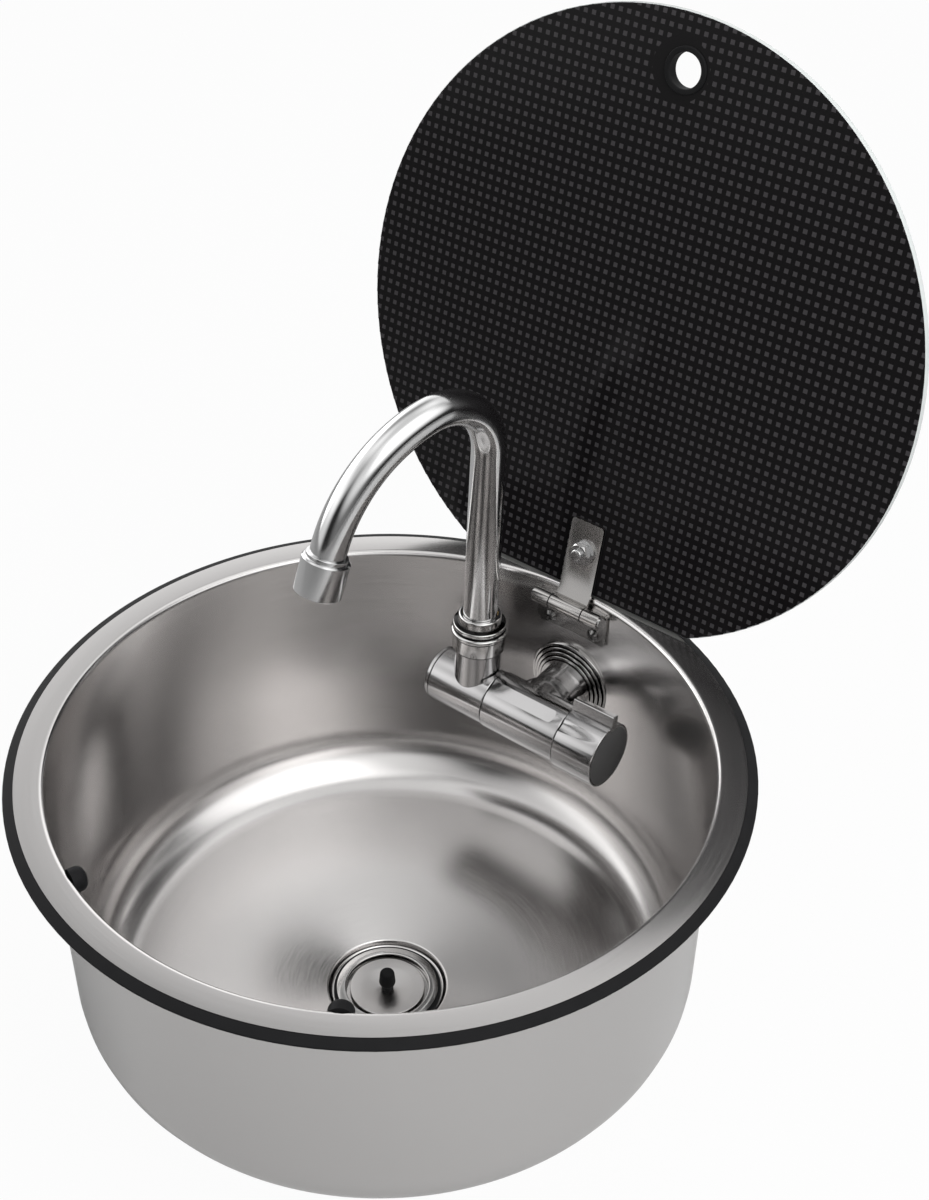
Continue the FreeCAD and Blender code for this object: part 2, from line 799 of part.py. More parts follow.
def journal_ring_places():
    """The two sealing rings of the journal, one each side of the spout socket."""
    return (
        (journal_end_x() + SPOUT_X - FOOT_R) / 2,
        (ELBOW_RIGHT_X + SPOUT_X + FOOT_R) / 2,
    )


def seal_floor_r():
    """The radius that the journal's sealing rings sit on."""
    return JOURNAL_R - 2 * O_RING_R


def tap_body():
    """The fixed body: barrel, journal, neck and threaded shank, with its waterways."""
    barrel = on_tap(
        [
            (0, ELBOW_RIGHT_X, 0),
            (BODY_R, ELBOW_RIGHT_X, EDGE_ROUND),
            (BODY_R, BODY_RIGHT_X, EDGE_ROUND),
            (0, BODY_RIGHT_X, 0),
        ]
    )
    journal = cylinder(JOURNAL_R, journal_end_x(), 0, tap_line(), X_AXIS)
    wall = TAP_STANDOFF
    neck = turned(
        [
            (0, 0, 0),
            (NECK_R + NECK_FLARE, 0, 0),
            (NECK_R + NECK_FLARE, BODY_R * NECK_ROOT_SHARE, 0),
            (NECK_R, BODY_R * NECK_FLARE_SHARE, NECK_FLARE),
            (NECK_R, wall - FLANGE_RISE, 0),
            (SHANK_R, wall - FLANGE_RISE, 0),
            (SHANK_R, wall + SHEET + SHANK_L, 0),
            (0, wall + SHEET + SHANK_L, 0),
        ]
    )
    inlet = Vector(TAP_X, TAP_Y, TAP_Z)
    shape = fused(barrel, journal, placed(neck, inlet, Y_AXIS))
    shape = shape.cut(cylinder(INLET_BORE_R, 0, wall + SHEET + SHANK_L + CUT, inlet, Y_AXIS))
    end = journal_end_x()
    for radius, low, high in (
        (WATERWAY_R, end + RETAINER_SCREW_L / 2, BODY_RIGHT_X),
        (CARTRIDGE_R, BODY_RIGHT_X - CARTRIDGE_L, BODY_RIGHT_X + CUT),
        (RETAINER_SCREW_R, end - CUT, end + RETAINER_SCREW_L),
    ):
        shape = shape.cut(cylinder(radius, low, high, tap_line(), X_AXIS))
    shape = shape.cut(cylinder(PORT_R, 0, JOURNAL_R + CUT, spout_base(), Z_AXIS))
    half = O_RING_R + SEAL_PLAY
    floor = seal_floor_r() - SEAL_PLAY
    for x in journal_ring_places():
        shape = shape.cut(tube(JOURNAL_R + CUT, floor, x - half, x + half, tap_line(), X_AXIS))
    flat = TAP_Z + BODY_R - PANEL_DEPTH
    panel = rounded_prism(
        (ELBOW_RIGHT_X - CUT, BODY_RIGHT_X - PANEL_INSET),
        (TAP_Y - PANEL_W / 2, TAP_Y + PANEL_W / 2),
        (flat, flat + CUT),
        PANEL_ROUND,
        Z_AXIS,
    )
    panel.rotate(tap_line(), X_AXIS, PANEL_TILT_DEG)
    return shape.cut(panel)


def journal_seals():
    """The two rubber rings that seal the elbow on the journal."""
    return Part.makeCompound([o_ring(seal_floor_r(), x) for x in journal_ring_places()])


def elbow_retainer():
    """The screw and broad washer that hold the elbow on the journal."""
    face = journal_end_x()
    return on_tap(
        [
            (0, face + RETAINER_SCREW_L, 0),
            (RETAINER_SCREW_R, face + RETAINER_SCREW_L, 0),
            (RETAINER_SCREW_R, face, 0),
            (RETAINER_R, face, 0),
            (RETAINER_R, face - RETAINER_T, 0),
            (RETAINER_HEAD_R, face - RETAINER_T, 0),
            (RETAINER_HEAD_R, face - RETAINER_T - RETAINER_HEAD_T, RETAINER_HEAD_T / 2),
            (0, face - RETAINER_T - RETAINER_HEAD_T, 0),
        ]
    )


def end_recess_r():
    """The bore of the elbow's left end, which clears the retainer."""
    return RETAINER_R + FREE_GAP


def leaned(shape):
    """A piece of the upright spout, leaned back about the tap's axis."""
    moved = shape.copy()
    moved.rotate(tap_line(), X_AXIS, -SPOUT_LEAN_DEG)
    return moved


def spout_base():
    """The point where the spout's axis crosses the tap's axis."""
    return Vector(SPOUT_X, TAP_Y, TAP_Z)


def folding_elbow():
    """The turning left part of the tap, with the socket that the spout stands in."""
    right = ELBOW_RIGHT_X - FREE_GAP
    barrel = on_tap(
        [
            (0, ELBOW_LEFT_X, 0),
            (ELBOW_R, ELBOW_LEFT_X, EDGE_ROUND),
            (ELBOW_R, right, EDGE_ROUND),
            (0, right, 0),
        ]
    )
    socket = cylinder(SOCKET_R, 0, SOCKET_TOP, spout_base())
    thread = cylinder(thread_r(), 0, SOCKET_TOP + thread_l(), spout_base())
    shape = fused(barrel, socket, thread)
    shape = shape.cut(cylinder(FOOT_R + RUN_FIT, 0, COLLAR_NUT_TOP, spout_base()))
    bore = cylinder(JOURNAL_R + RUN_FIT, ELBOW_LEFT_X - CUT, right + CUT, tap_line(), X_AXIS)
    recess = cylinder(
        end_recess_r(), ELBOW_LEFT_X - CUT, journal_end_x() + FREE_GAP, tap_line(), X_AXIS
    )
    return leaned(shape.cut(bore).cut(recess))


def thread_r():
    """The outside of the socket's thread, inside the collar nut."""
    return COLLAR_NUT_R - COLLAR_LIP_T - COLLAR_BEAD_R


def thread_l():
    """How far the socket's thread reaches into the collar nut."""
    return (COLLAR_NUT_TOP - SOCKET_TOP) / 2


def elbow_end_cap():
    """The disc that closes the elbow's left end, with its plug."""
    plug_end = journal_end_x() - RETAINER_T - RETAINER_HEAD_T - FREE_GAP
    return on_tap(
        [
            (0, ELBOW_LEFT_X - END_CAP_T, 0),
            (END_CAP_R, ELBOW_LEFT_X - END_CAP_T, EDGE_ROUND),
            (END_CAP_R, ELBOW_LEFT_X, 0),
            (end_recess_r(), ELBOW_LEFT_X, 0),
            (end_recess_r(), plug_end, 0),
            (0, plug_end, 0),
        ]
    )


def collar_nut():
    """The beaded nut that traps the spout's foot in the socket."""
    base = SOCKET_TOP
    top = COLLAR_NUT_TOP
    bead = COLLAR_BEAD_R
    low_bead = (base + top) / 2
    high_bead = low_bead + 5 * bead
    shape = turned(
        [
            (0, base, 0),
            (COLLAR_NUT_R, base, EDGE_ROUND / 2),
            (COLLAR_NUT_R, low_bead - 2 * bead, 0),
            (COLLAR_NUT_R + bead, low_bead - bead, bead),
            (COLLAR_NUT_R + bead, low_bead + bead, bead),
            (COLLAR_NUT_R - bead, low_bead + 2 * bead, 0),
            (COLLAR_NUT_R, high_bead - bead, bead / 2),
            (COLLAR_NUT_R, high_bead + bead, bead),
            (COLLAR_NUT_R - 3 * bead, high_bead + 2 * bead, 0),
            (SPOUT_R + COLLAR_TOP_ROUND, top, COLLAR_TOP_ROUND / 2),
            (0, top, 0),
        ]
    )
    hollow = fused(
        cylinder(thread_r(), base - CUT, base + thread_l()),
        cylinder(FOOT_R + RUN_FIT, base, top - COLLAR_LIP_T - FREE_GAP),
        cylinder(SPOUT_R + FREE_GAP, base, top + CUT),
    )
    return leaned(placed(shape.cut(hollow), spout_base(), Z_AXIS))


def spout_direction():
    """The horizontal direction that the spout points in."""
    aim = math.radians(SPOUT_AIM_DEG)
    return Vector(math.cos(aim), math.sin(aim), 0)


def spout_line(start, end):
    """The spout's centre line: riser, crook, long sweep and straight tip."""
    base = spout_base()
    out = spout_direction()

    def at(reach, height):
        return base + out * reach + Z_AXIS * height

    def arc(centre_reach, centre_height, radius, first, last):
        places = [first, (first + last) / 2, last]
        return [
            at(
                centre_reach - radius * math.cos(math.radians(a)),
                centre_height + radius * math.sin(math.radians(a)),
            )
            for a in places
        ]

    crook = arc(CROOK_R, RISER_TOP, CROOK_R, 0, CROOK_DEG)
    turn = math.radians(CROOK_DEG)
    step = SWEEP_R - CROOK_R
    centre_reach = CROOK_R + step * math.cos(turn)
    centre_height = RISER_TOP - step * math.sin(turn)
    total = CROOK_DEG + SWEEP_DEG
    sweep = arc(centre_reach, centre_height, SWEEP_R, CROOK_DEG, total)
    along = out * math.sin(math.radians(total)) + Z_AXIS * math.cos(math.radians(total))
    tip = sweep[2] + along * end
    edges = [
        Part.makeLine(at(0, start), crook[0]),
        Part.Arc(*crook).toShape(),
        Part.Arc(*sweep).toShape(),
        Part.makeLine(sweep[2], tip),
    ]
    return Part.Wire(edges), tip, along


def pipe(radius, start, end):
    """A round bar along the spout's centre line."""
    line, _, _ = spout_line(start, end)
    ring = Part.Wire(Part.makeCircle(radius, spout_base() + Z_AXIS * start, Z_AXIS))
    return line.makePipeShell([ring], True, False)


def spout_tube():
    """The bent tube, from its foot in the socket to the outlet."""
    outer = pipe(SPOUT_R, FOOT_BOTTOM, SPOUT_TIP_L)
    inner = pipe(SPOUT_R - SPOUT_WALL, FOOT_BOTTOM - CUT, SPOUT_TIP_L + CUT)
    return leaned(outer.cut(inner))


def foot_top():
    """The top of the spout's foot, just under the collar nut's lip."""
    return COLLAR_NUT_TOP - COLLAR_LIP_T - 2 * FREE_GAP


def spout_ring_places():
    """The heights of the two sealing rings on the spout's foot."""
    span = SOCKET_TOP - FOOT_BOTTOM
    return (FOOT_BOTTOM + span / 4, FOOT_BOTTOM + span * 3 / 4)


def ring_section_r():
    """The section radius of the spout's sealing rings, which fill their grooves."""
    return (FOOT_R - SPOUT_R) * SPOUT_RING_SHARE


def spout_foot():
    """The sleeve on the tube's lower end, which turns in the socket."""
    shape = tube(FOOT_R, SPOUT_R, FOOT_BOTTOM, foot_top(), spout_base())
    r = ring_section_r()
    floor = FOOT_R - 2 * r - SEAL_PLAY
    half = r + SEAL_PLAY
    for height in spout_ring_places():
        groove = tube(FOOT_R + CUT, floor, height - half, height + half, spout_base())
        shape = shape.cut(groove)
    return leaned(shape)


def spout_seals():
    """The rubber rings on the spout's foot."""
    r = ring_section_r()
    rings = []
    for height in spout_ring_places():
        ring = Part.makeTorus(FOOT_R - r, r)
        rings.append(leaned(placed(ring, spout_base() + Z_AXIS * height, Z_AXIS)))
    return Part.makeCompound(rings)


def aerator_place():
    """The upper end of the outlet collar and the direction that water leaves in."""
    _, tip, along = spout_line(FOOT_BOTTOM, SPOUT_TIP_L)
    return tip - along * AERATOR_OVERLAP, along


def aerator_housing():
    """The collar screwed over the tube's end, with its stepped upper ring."""
    at, along = aerator_place()
    shape = turned(
        [
            (SPOUT_R, 0, 0),
            (AERATOR_STEP_R, 0, EDGE_ROUND / 2),
            (AERATOR_STEP_R, AERATOR_STEP_L, 0),
            (AERATOR_R - EDGE_ROUND, AERATOR_STEP_L, EDGE_ROUND / 2),
            (AERATOR_R, AERATOR_STEP_L + EDGE_ROUND, 0),
            (AERATOR_R, AERATOR_L, EDGE_ROUND),
            (AERATOR_R - AERATOR_WALL, AERATOR_L, 0),
            (AERATOR_R - AERATOR_WALL, AERATOR_OVERLAP, 0),
            (SPOUT_R, AERATOR_OVERLAP, 0),
        ]
    )
    return leaned(placed(shape, at, along))


def aerator_insert():
    """The slotted insert inside the outlet collar."""
    at, along = aerator_place()
    outer = AERATOR_R - AERATOR_WALL
    top = AERATOR_L - AERATOR_INSERT_L
    shape = tube(outer, outer - AERATOR_WALL, top, AERATOR_L - AERATOR_WALL)
    shape = shape.fuse(cylinder(outer, top, top + AERATOR_WALL))
    hub = cylinder(outer / 4, top, AERATOR_L - AERATOR_WALL)
    bars = [hub]
    for k in range(AERATOR_SLOTS // 2):
        bar = block(
            (-outer + AERATOR_WALL / 2, outer - AERATOR_WALL / 2),
            (-AERATOR_WALL / 4, AERATOR_WALL / 4),
            (top, AERATOR_L - 2 * AERATOR_WALL),
        )
        bar.rotate(Vector(0, 0, 0), Z_AXIS, 360 * k / AERATOR_SLOTS)
        bars.append(bar)
    shape = shape.fuse(bars).removeSplitter()
    return leaned(placed(shape, at, along))


def tap_flange():
    """The stepped cover flange, its back shaped to the bowl's wall."""
    points = [(NECK_R, -FLANGE_RISE, 0), (FLANGE_R, -FLANGE_RISE, 0)]
    for step in range(FLANGE_STEPS):
        radius = FLANGE_R - step * FLANGE_STEP
        height = FLANGE_BASE_T + step * FLANGE_RISE
        points.append((radius, height, FLANGE_ROUND))
        points.append((radius - FLANGE_STEP, height, FLANGE_ROUND))
    top = FLANGE_BASE_T + (FLANGE_STEPS - 1 / 2) * FLANGE_RISE
    points += [(FLANGE_R - FLANGE_STEPS * FLANGE_STEP, top, 0), (NECK_R, top, 0)]
    shape = placed(turned(points), Vector(TAP_X, WALL_AT_TAP, TAP_Z), Y_AXIS * -1)
    return shape.common(wall_space(SEAT_GAP))


def outside_wall():
    """The space outside the bowl's wall, which trims what sits against it."""
    top = RIM_TOP - ROLL_R
    bottom = FLOOR_Z + CORNER_R
    far = 2 * RIM_R
    return turned(
        [
            (wall_r(bottom) + SHEET, bottom, 0),
            (far, bottom, 0),
            (far, top, 0),
            (wall_r(top) + SHEET, top, 0),
        ]
    )


def shank_place():
    """The point on the shank's axis at the bowl's inside wall."""
    return Vector(TAP_X, WALL_AT_TAP, TAP_Z)


def shank_seal():
    """The rubber washer behind the wall, shaped to it on one side."""
    end = SHEET + SHANK_SEAL_T
    ring = tube(SHANK_SEAL_R, SHANK_R, -CUT, end, shank_place(), Y_AXIS)
    return ring.common(outside_wall())


def shank_washer():
    """The flat steel washer under the shank nut."""
    start = SHEET + SHANK_SEAL_T
    return tube(SHANK_SEAL_R, SHANK_R, start, start + SHANK_WASHER_T, shank_place(), Y_AXIS)


def shank_nut():
    """The six-sided nut that clamps the tap to the wall."""
    start = SHEET + SHANK_SEAL_T + SHANK_WASHER_T
    nut = hexagon(SHANK_NUT_AF, start, start + SHANK_NUT_T, shank_place(), Y_AXIS)
    return nut.cut(cylinder(SHANK_R, start - CUT, start + SHANK_NUT_T + CUT, shank_place(), Y_AXIS))


def inlet_tail():
    """The plain tail that the cold-water pipe pushes on to."""
    start = SHEET + SHANK_L
    end = start + TAIL_L
    neck_end = start + TAIL_FLANGE_T + TAIL_NUT_WALL + TAIL_NECK_SPARE
    shape = turned(
        [
            (TAIL_BORE_R, start, 0),
            (SHANK_R, start, 0),
            (SHANK_R, start + TAIL_FLANGE_T, 0),
            (TAIL_NECK_R, start + TAIL_FLANGE_T, 0),
            (TAIL_NECK_R, neck_end, 0),
            (TAIL_R, neck_end, 0),
            (TAIL_R, end, 0),
            (TAIL_BORE_R, end, 0),
        ]
    )
    return placed(shape, shank_place(), Y_AXIS)


def tail_nut():
    """The union nut that holds the tail on the shank."""
    flange = SHEET + SHANK_L + TAIL_FLANGE_T
    end = flange + TAIL_NUT_WALL
    start = end - TAIL_NUT_T
    nut = hexagon(TAIL_NUT_AF, start, end, shank_place(), Y_AXIS)
    nut = nut.cut(cylinder(SHANK_R, start - CUT, flange, shank_place(), Y_AXIS))
    return nut.cut(cylinder(TAIL_NECK_R, start, end + CUT, shank_place(), Y_AXIS))


def cartridge_left():
    """The inner end of the valve cartridge."""
    return BODY_RIGHT_X - CARTRIDGE_L


def disc_gap_x():
    """The plane between the fixed and the turning ceramic disc."""
    return cartridge_left() + 2 * DISC_T


def valve_cartridge():
    """The cartridge's housing, screwed into the tap body."""
    left = cartridge_left()
    cavity_end = disc_gap_x() + FREE_GAP + DISC_T + SPINDLE_HEAD_T + FREE_GAP
    return on_tap(
        [
            (SPINDLE_R + RUN_FIT, BODY_RIGHT_X - FREE_GAP, 0),
            (CARTRIDGE_R, BODY_RIGHT_X - FREE_GAP, EDGE_ROUND),
            (CARTRIDGE_R, left, 0),
            (DISC_R + RUN_FIT, left, 0),
            (DISC_R + RUN_FIT, cavity_end, 0),
            (SPINDLE_R + RUN_FIT, cavity_end, 0),
        ]
    )


def ceramic_disc(start):
    """A ceramic disc with its two water windows."""
    disc = cylinder(DISC_R, start, start + DISC_T, tap_line(), X_AXIS)
    for side in (-1, 1):
        at = tap_line() + Y_AXIS * side * DISC_R / 2
        disc = disc.cut(cylinder(DISC_R / 4, start - CUT, start + DISC_T + CUT, at, X_AXIS))
    return disc


def valve_disc_fixed():
    """The ceramic disc that stays in the cartridge."""
    return ceramic_disc(disc_gap_x() - DISC_T)


def valve_disc_turning():
    """The ceramic disc that the spindle turns."""
    return ceramic_disc(disc_gap_x() + FREE_GAP)


def valve_spindle():
    """The spindle between the turning disc and the knob."""
    head = disc_gap_x() + FREE_GAP + DISC_T
    end = BODY_RIGHT_X + SPINDLE_OUT
    return on_tap(
        [
            (0, head, 0),
            (SPINDLE_HEAD_R, head, 0),
            (SPINDLE_HEAD_R, head + SPINDLE_HEAD_T, 0),
            (SPINDLE_R, head + SPINDLE_HEAD_T, 0),
            (SPINDLE_R, end, 0),
            (0, end, 0),
        ]
    ).cut(cylinder(KNOB_SCREW_R, end - KNOB_SCREW_L, end + CUT, tap_line(), X_AXIS))


def knob_left():
    """The knob's inner end, just clear of the body."""
    return BODY_RIGHT_X + FREE_GAP


def knob_ridge(start, end):
    """The knob's finger ridge, narrower at its top, between two places along X."""
    root = TAP_Z + KNOB_R - RIDGE_SINK
    top = TAP_Z + KNOB_R + RIDGE_H
    ring = [
        Vector(start, TAP_Y + across, z)
        for across, z in (
            (-RIDGE_ROOT_W / 2, root),
            (RIDGE_ROOT_W / 2, root),
            (RIDGE_TOP_W / 2, top),
            (-RIDGE_TOP_W / 2, top),
        )
    ]
    ridge = Part.Face(Part.makePolygon(ring + ring[:1])).extrude(X_AXIS * (end - start))
    middle = (root + top) / 2
    return ridge.makeFillet(EDGE_ROUND, [e for e in ridge.Edges if e.BoundBox.ZMin > middle])


def thumb_groove(left, around_deg):
    """The tool for a long groove that is deepest at the knob's left end and runs out."""
    slope = math.atan2(GROOVE_DEPTH, GROOVE_L)
    tool = cylinder(GROOVE_R, -2 * CUT, GROOVE_L + 2 * CUT, axis=X_AXIS)
    tool.rotate(Vector(0, 0, 0), Y_AXIS, -math.degrees(slope))
    tool.translate(Vector(left, TAP_Y, TAP_Z + KNOB_R - GROOVE_DEPTH + GROOVE_R / math.cos(slope)))
    tool.rotate(tap_line(), X_AXIS, around_deg)
    return tool


def tap_knob():
    """The round knob with its finger ridge and two long thumb grooves."""
    left = knob_left()
    shape = on_tap(
        [
            (0, left, 0),
            (KNOB_R, left, EDGE_ROUND),
            (KNOB_R, KNOB_RIGHT_X, EDGE_ROUND),
            (0, KNOB_RIGHT_X, 0),
        ]
    )
    shape = fused(shape, knob_ridge(left + RIDGE_START, KNOB_RIGHT_X + RIDGE_OVERHANG))
    for side in (-1, 1):
        shape = shape.cut(thumb_groove(left, side * GROOVE_DEG))
    shape.rotate(tap_line(), X_AXIS, KNOB_TURN_DEG)
    recess = cylinder(KNOB_RECESS_R, left - CUT, left + KNOB_RECESS_L, tap_line(), X_AXIS)
    spindle_end = BODY_RIGHT_X + SPINDLE_OUT
    bore = cylinder(SPINDLE_R, left, spindle_end, tap_line(), X_AXIS)
    screw = cylinder(KNOB_SCREW_R, left, KNOB_RIGHT_X + CUT, tap_line(), X_AXIS)
    well_floor = KNOB_RIGHT_X - KNOB_CAP_T - KNOB_WELL_L
    well = cylinder(KNOB_WELL_R, well_floor, KNOB_RIGHT_X + CUT, tap_line(), X_AXIS)
    cap = cylinder(
        KNOB_R - KNOB_RIM - EDGE_ROUND, KNOB_RIGHT_X - KNOB_CAP_T, KNOB_RIGHT_X + CUT, tap_line(), X_AXIS
    )
    for tool in (recess, bore, screw, well, cap):
        shape = shape.cut(tool)
    return shape


def knob_screw():
    """The screw that holds the knob on its spindle."""
    floor = KNOB_RIGHT_X - KNOB_CAP_T - KNOB_WELL_L
    tail = BODY_RIGHT_X + SPINDLE_OUT - KNOB_SCREW_L
    return on_tap(
        [
            (0, tail, 0),
            (KNOB_SCREW_R, tail, 0),
            (KNOB_SCREW_R, floor, 0),
            (KNOB_SCREW_HEAD_R, floor, 0),
            (KNOB_SCREW_HEAD_R, floor + KNOB_SCREW_R, EDGE_ROUND),
            (0, floor + KNOB_SCREW_R, 0),
        ]
    )


def knob_cap():
    """The plain dark disc that closes the knob's end."""
    r = KNOB_R - KNOB_RIM - EDGE_ROUND
    return cylinder(r, KNOB_RIGHT_X - KNOB_CAP_T, KNOB_RIGHT_X, tap_line(), X_AXIS)


def waste_flange_z():
    """The underside of the waste's flange, on its gasket."""
    return SEAT_Z + WASTE_GASKET_T


def waste_flange():
    """The polished flange in the floor, its threaded tube and the strainer's shelf."""
    under = waste_flange_z()
    top = under + WASTE_FLANGE_T
    shelf = top - WASTE_SHELF_DROP
    foot = top - WASTE_TUBE_L
    return turned(
        [
            (WASTE_TUBE_R, under, 0),
            (WASTE_FLANGE_R, under, 0),
            (WASTE_FLANGE_R, top - WASTE_FLANGE_T / 3, 0),
            (WASTE_FLANGE_R - WASTE_FLANGE_T, top, 0),
            (WASTE_THROAT_R, top, EDGE_ROUND),
            (WASTE_THROAT_R, shelf, 0),
            (WASTE_THROAT_R - WASTE_SHELF_W, shelf, 0),
            (WASTE_THROAT_R - WASTE_SHELF_W, shelf - WASTE_SHELF_T, 0),
            (WASTE_THROAT_R, shelf - WASTE_SHELF_T, 0),
            (WASTE_THROAT_R, foot, 0),
            (WASTE_TUBE_R, foot, 0),
        ]
    )


def waste_gasket():
    """The black rubber ring that shows around the waste's flange."""
    return tube(WASTE_GASKET_R, WASTE_TUBE_R, SEAT_Z, SEAT_Z + WASTE_GASKET_T)


def waste_washer():
    """The rubber washer under the bowl."""
    top = SEAT_Z - SHEET
    return tube(WASTE_TUBE_R + WASTE_WASHER_W, WASTE_TUBE_R, top - WASTE_WASHER_T, top)


def waste_nut_top():
    """The upper face of the waste's back nut."""
    return SEAT_Z - SHEET - WASTE_WASHER_T


def waste_nut():
    """The lugged back nut that clamps the waste to the bowl."""
    top = waste_nut_top()
    low = top - WASTE_NUT_T
    nut_r = WASTE_TUBE_R + WASTE_NUT_W
    ring = cylinder(nut_r, low, top)
    lugs = []
    for k in range(WASTE_NUT_LUGS):
        lug = block(
            (0, nut_r + WASTE_NUT_LUG_W / 2),
            (-WASTE_NUT_LUG_W / 2, WASTE_NUT_LUG_W / 2),
            (low, top - WASTE_NUT_T / 4),
        )
        lug.rotate(Vector(0, 0, 0), Z_AXIS, 360 * k / WASTE_NUT_LUGS)
        lugs.append(lug)
    return ring.fuse(lugs).removeSplitter().cut(cylinder(WASTE_TUBE_R, low - CUT, top + CUT))


def waste_cup():
    """The plastic cup screwed on the waste's tube, drawn in to the hose spigot."""
    top = waste_nut_top() - WASTE_NUT_T - FREE_GAP
    tube_foot = waste_flange_z() + WASTE_FLANGE_T - WASTE_TUBE_L
    cone_top = tube_foot - CUP_L + CUP_BOTTOM_DROP
    cone_end = tube_foot - CUP_L
    end = cone_end - SPIGOT_L
    inner = WASTE_TUBE_R
    return turned(
        [
            (inner, top, 0),
            (inner + CUP_WALL, top, 0),
            (inner + CUP_WALL, cone_top, 0),
            (SPIGOT_R, cone_end, 0),
            (SPIGOT_R, end, 0),
            (SPIGOT_R - CUP_WALL, end, 0),
            (SPIGOT_R - CUP_WALL, cone_end + CUP_WALL / 2, 0),
            (inner - CUP_WALL, cone_top, 0),
            (inner - CUP_WALL, tube_foot, 0),
            (inner, tube_foot, 0),
        ]
    )


def cover_z():
    """The rim height of the strainer's cover, just under the waste's flange."""
    return waste_flange_z() + WASTE_FLANGE_T - COVER_FACE_DROP


def strainer_cover():
    """The dished cover that shows in the drain."""
    z = cover_z()
    return turned(
        [
            (STEM_R, z - COVER_DISH, 0),
            (COVER_R * COVER_BEND_SHARE, z - COVER_T / 2, COVER_R),
            (COVER_R, z, COVER_T / 3),
            (COVER_R, z - COVER_T, COVER_T / 3),
            (COVER_R * COVER_BEND_SHARE, z - COVER_T * 3 / 2, COVER_R),
            (STEM_R, z - COVER_DISH - COVER_T, 0),
        ]
    )


def stem_bottom():
    """The lower end of the strainer's stem, under the basket's floor."""
    return basket_floor_z() - BASKET_T - STEM_COLLAR_T


def basket_top_z():
    """The basket's lip, standing on the waste's shelf."""
    return waste_flange_z() + WASTE_FLANGE_T - WASTE_SHELF_DROP + BASKET_T


def basket_floor_z():
    """The basket's floor, inside."""
    return basket_top_z() - BASKET_H


def strainer_basket():
    """The perforated basket that hangs in the waste."""
    top = basket_top_z()
    low = basket_floor_z()
    lip = WASTE_THROAT_R - FREE_GAP
    path = [
        (lip, top, 0),
        (BASKET_R - BASKET_T, top, BASKET_T),
        (BASKET_FLOOR_R, low, 2 * BASKET_T),
        (STEM_R, low, 0),
    ]
    shape = turned_sheet(path, BASKET_T)
    for share, count in zip(BASKET_RING_SHARES, BASKET_RING_HOLES):
        ring_r = BASKET_FLOOR_R * share
        for k in range(count):
            angle = 2 * math.pi * k / count
            at = Vector(ring_r * math.cos(angle), ring_r * math.sin(angle), low)
            shape = shape.cut(cylinder(BASKET_HOLE_R, -CUT, CUT, at))
    return shape


def strainer_stem():
    """The stem that ties the cover to the basket, with a collar under the floor."""
    z = cover_z() - COVER_DISH
    low = basket_floor_z() - BASKET_T
    return turned(
        [
            (0, stem_bottom(), 0),
            (STEM_COLLAR_R, stem_bottom(), 0),
            (STEM_COLLAR_R, low, 0),
            (STEM_R, low, 0),
            (STEM_R, z, 0),
            (0, z, 0),
        ]
    )


def cover_slope():
    """How fast the cover's dished face rises with its radius."""
    return (COVER_DISH - COVER_T / 2) / (COVER_R * COVER_BEND_SHARE - STEM_R)


def strainer_knob():
    """The small black grip on the cover, a little wider at its rounded top."""
    z = cover_z() - COVER_DISH + (STRAINER_KNOB_R - STEM_R) * cover_slope()
    top = z + STRAINER_KNOB_H
    return turned(
        [
            (0, z, 0),
            (STRAINER_KNOB_R, z, 0),
            (STRAINER_KNOB_R, z + STRAINER_KNOB_H * STRAINER_NECK_SHARE, 0),
            (STRAINER_KNOB_BELLY_R, z + STRAINER_KNOB_H * STRAINER_BELLY_SHARE, STRAINER_KNOB_R),
            (STRAINER_KNOB_TOP_R, top, STRAINER_KNOB_TOP_R / 2),
            (0, top, 0),
        ]
    )


NODES = {
    "bowl": bowl,
    "rim_gasket": rim_gasket,
    "lid_bumpers": lid_bumpers,
    "hinge_plate": hinge_plate,
    "hinge_pin": hinge_pin,
    "hinge_screws": hinge_screws,
    "hinge_screw_nuts": hinge_screw_nuts,
    "lid_glass": lid_glass,
    "lid_grommet": lid_grommet,
    "lid_strap": lid_strap,
    "strap_pad": strap_pad,
    "lid_bolt": lid_bolt,
    "lid_bolt_sleeve": lid_bolt_sleeve,
    "lid_bolt_washer": lid_bolt_washer,
    "lid_bolt_nut": lid_bolt_nut,
    "tap_flange": tap_flange,
    "tap_body": tap_body,
    "journal_seals": journal_seals,
    "elbow_retainer": elbow_retainer,
    "shank_seal": shank_seal,
    "shank_washer": shank_washer,
    "shank_nut": shank_nut,
    "inlet_tail": inlet_tail,
    "tail_nut": tail_nut,
    "valve_cartridge": valve_cartridge,
    "valve_disc_fixed": valve_disc_fixed,
    "valve_disc_turning": valve_disc_turning,
    "valve_spindle": valve_spindle,
    "tap_knob": tap_knob,
    "knob_screw": knob_screw,
    "knob_cap": knob_cap,
    "folding_elbow": folding_elbow,
    "elbow_end_cap": elbow_end_cap,
    "collar_nut": collar_nut,
    "spout_tube": spout_tube,
    "spout_foot": spout_foot,
    "spout_seals": spout_seals,
    "aerator_housing": aerator_housing,
    "aerator_insert": aerator_insert,
    "waste_flange": waste_flange,
    "waste_gasket": waste_gasket,
    "waste_washer": waste_washer,
    "waste_nut": waste_nut,
    "waste_cup": waste_cup,
    "strainer_cover": strainer_cover,
    "strainer_basket": strainer_basket,
    "strainer_stem": strainer_stem,
    "strainer_knob": strainer_knob,
}


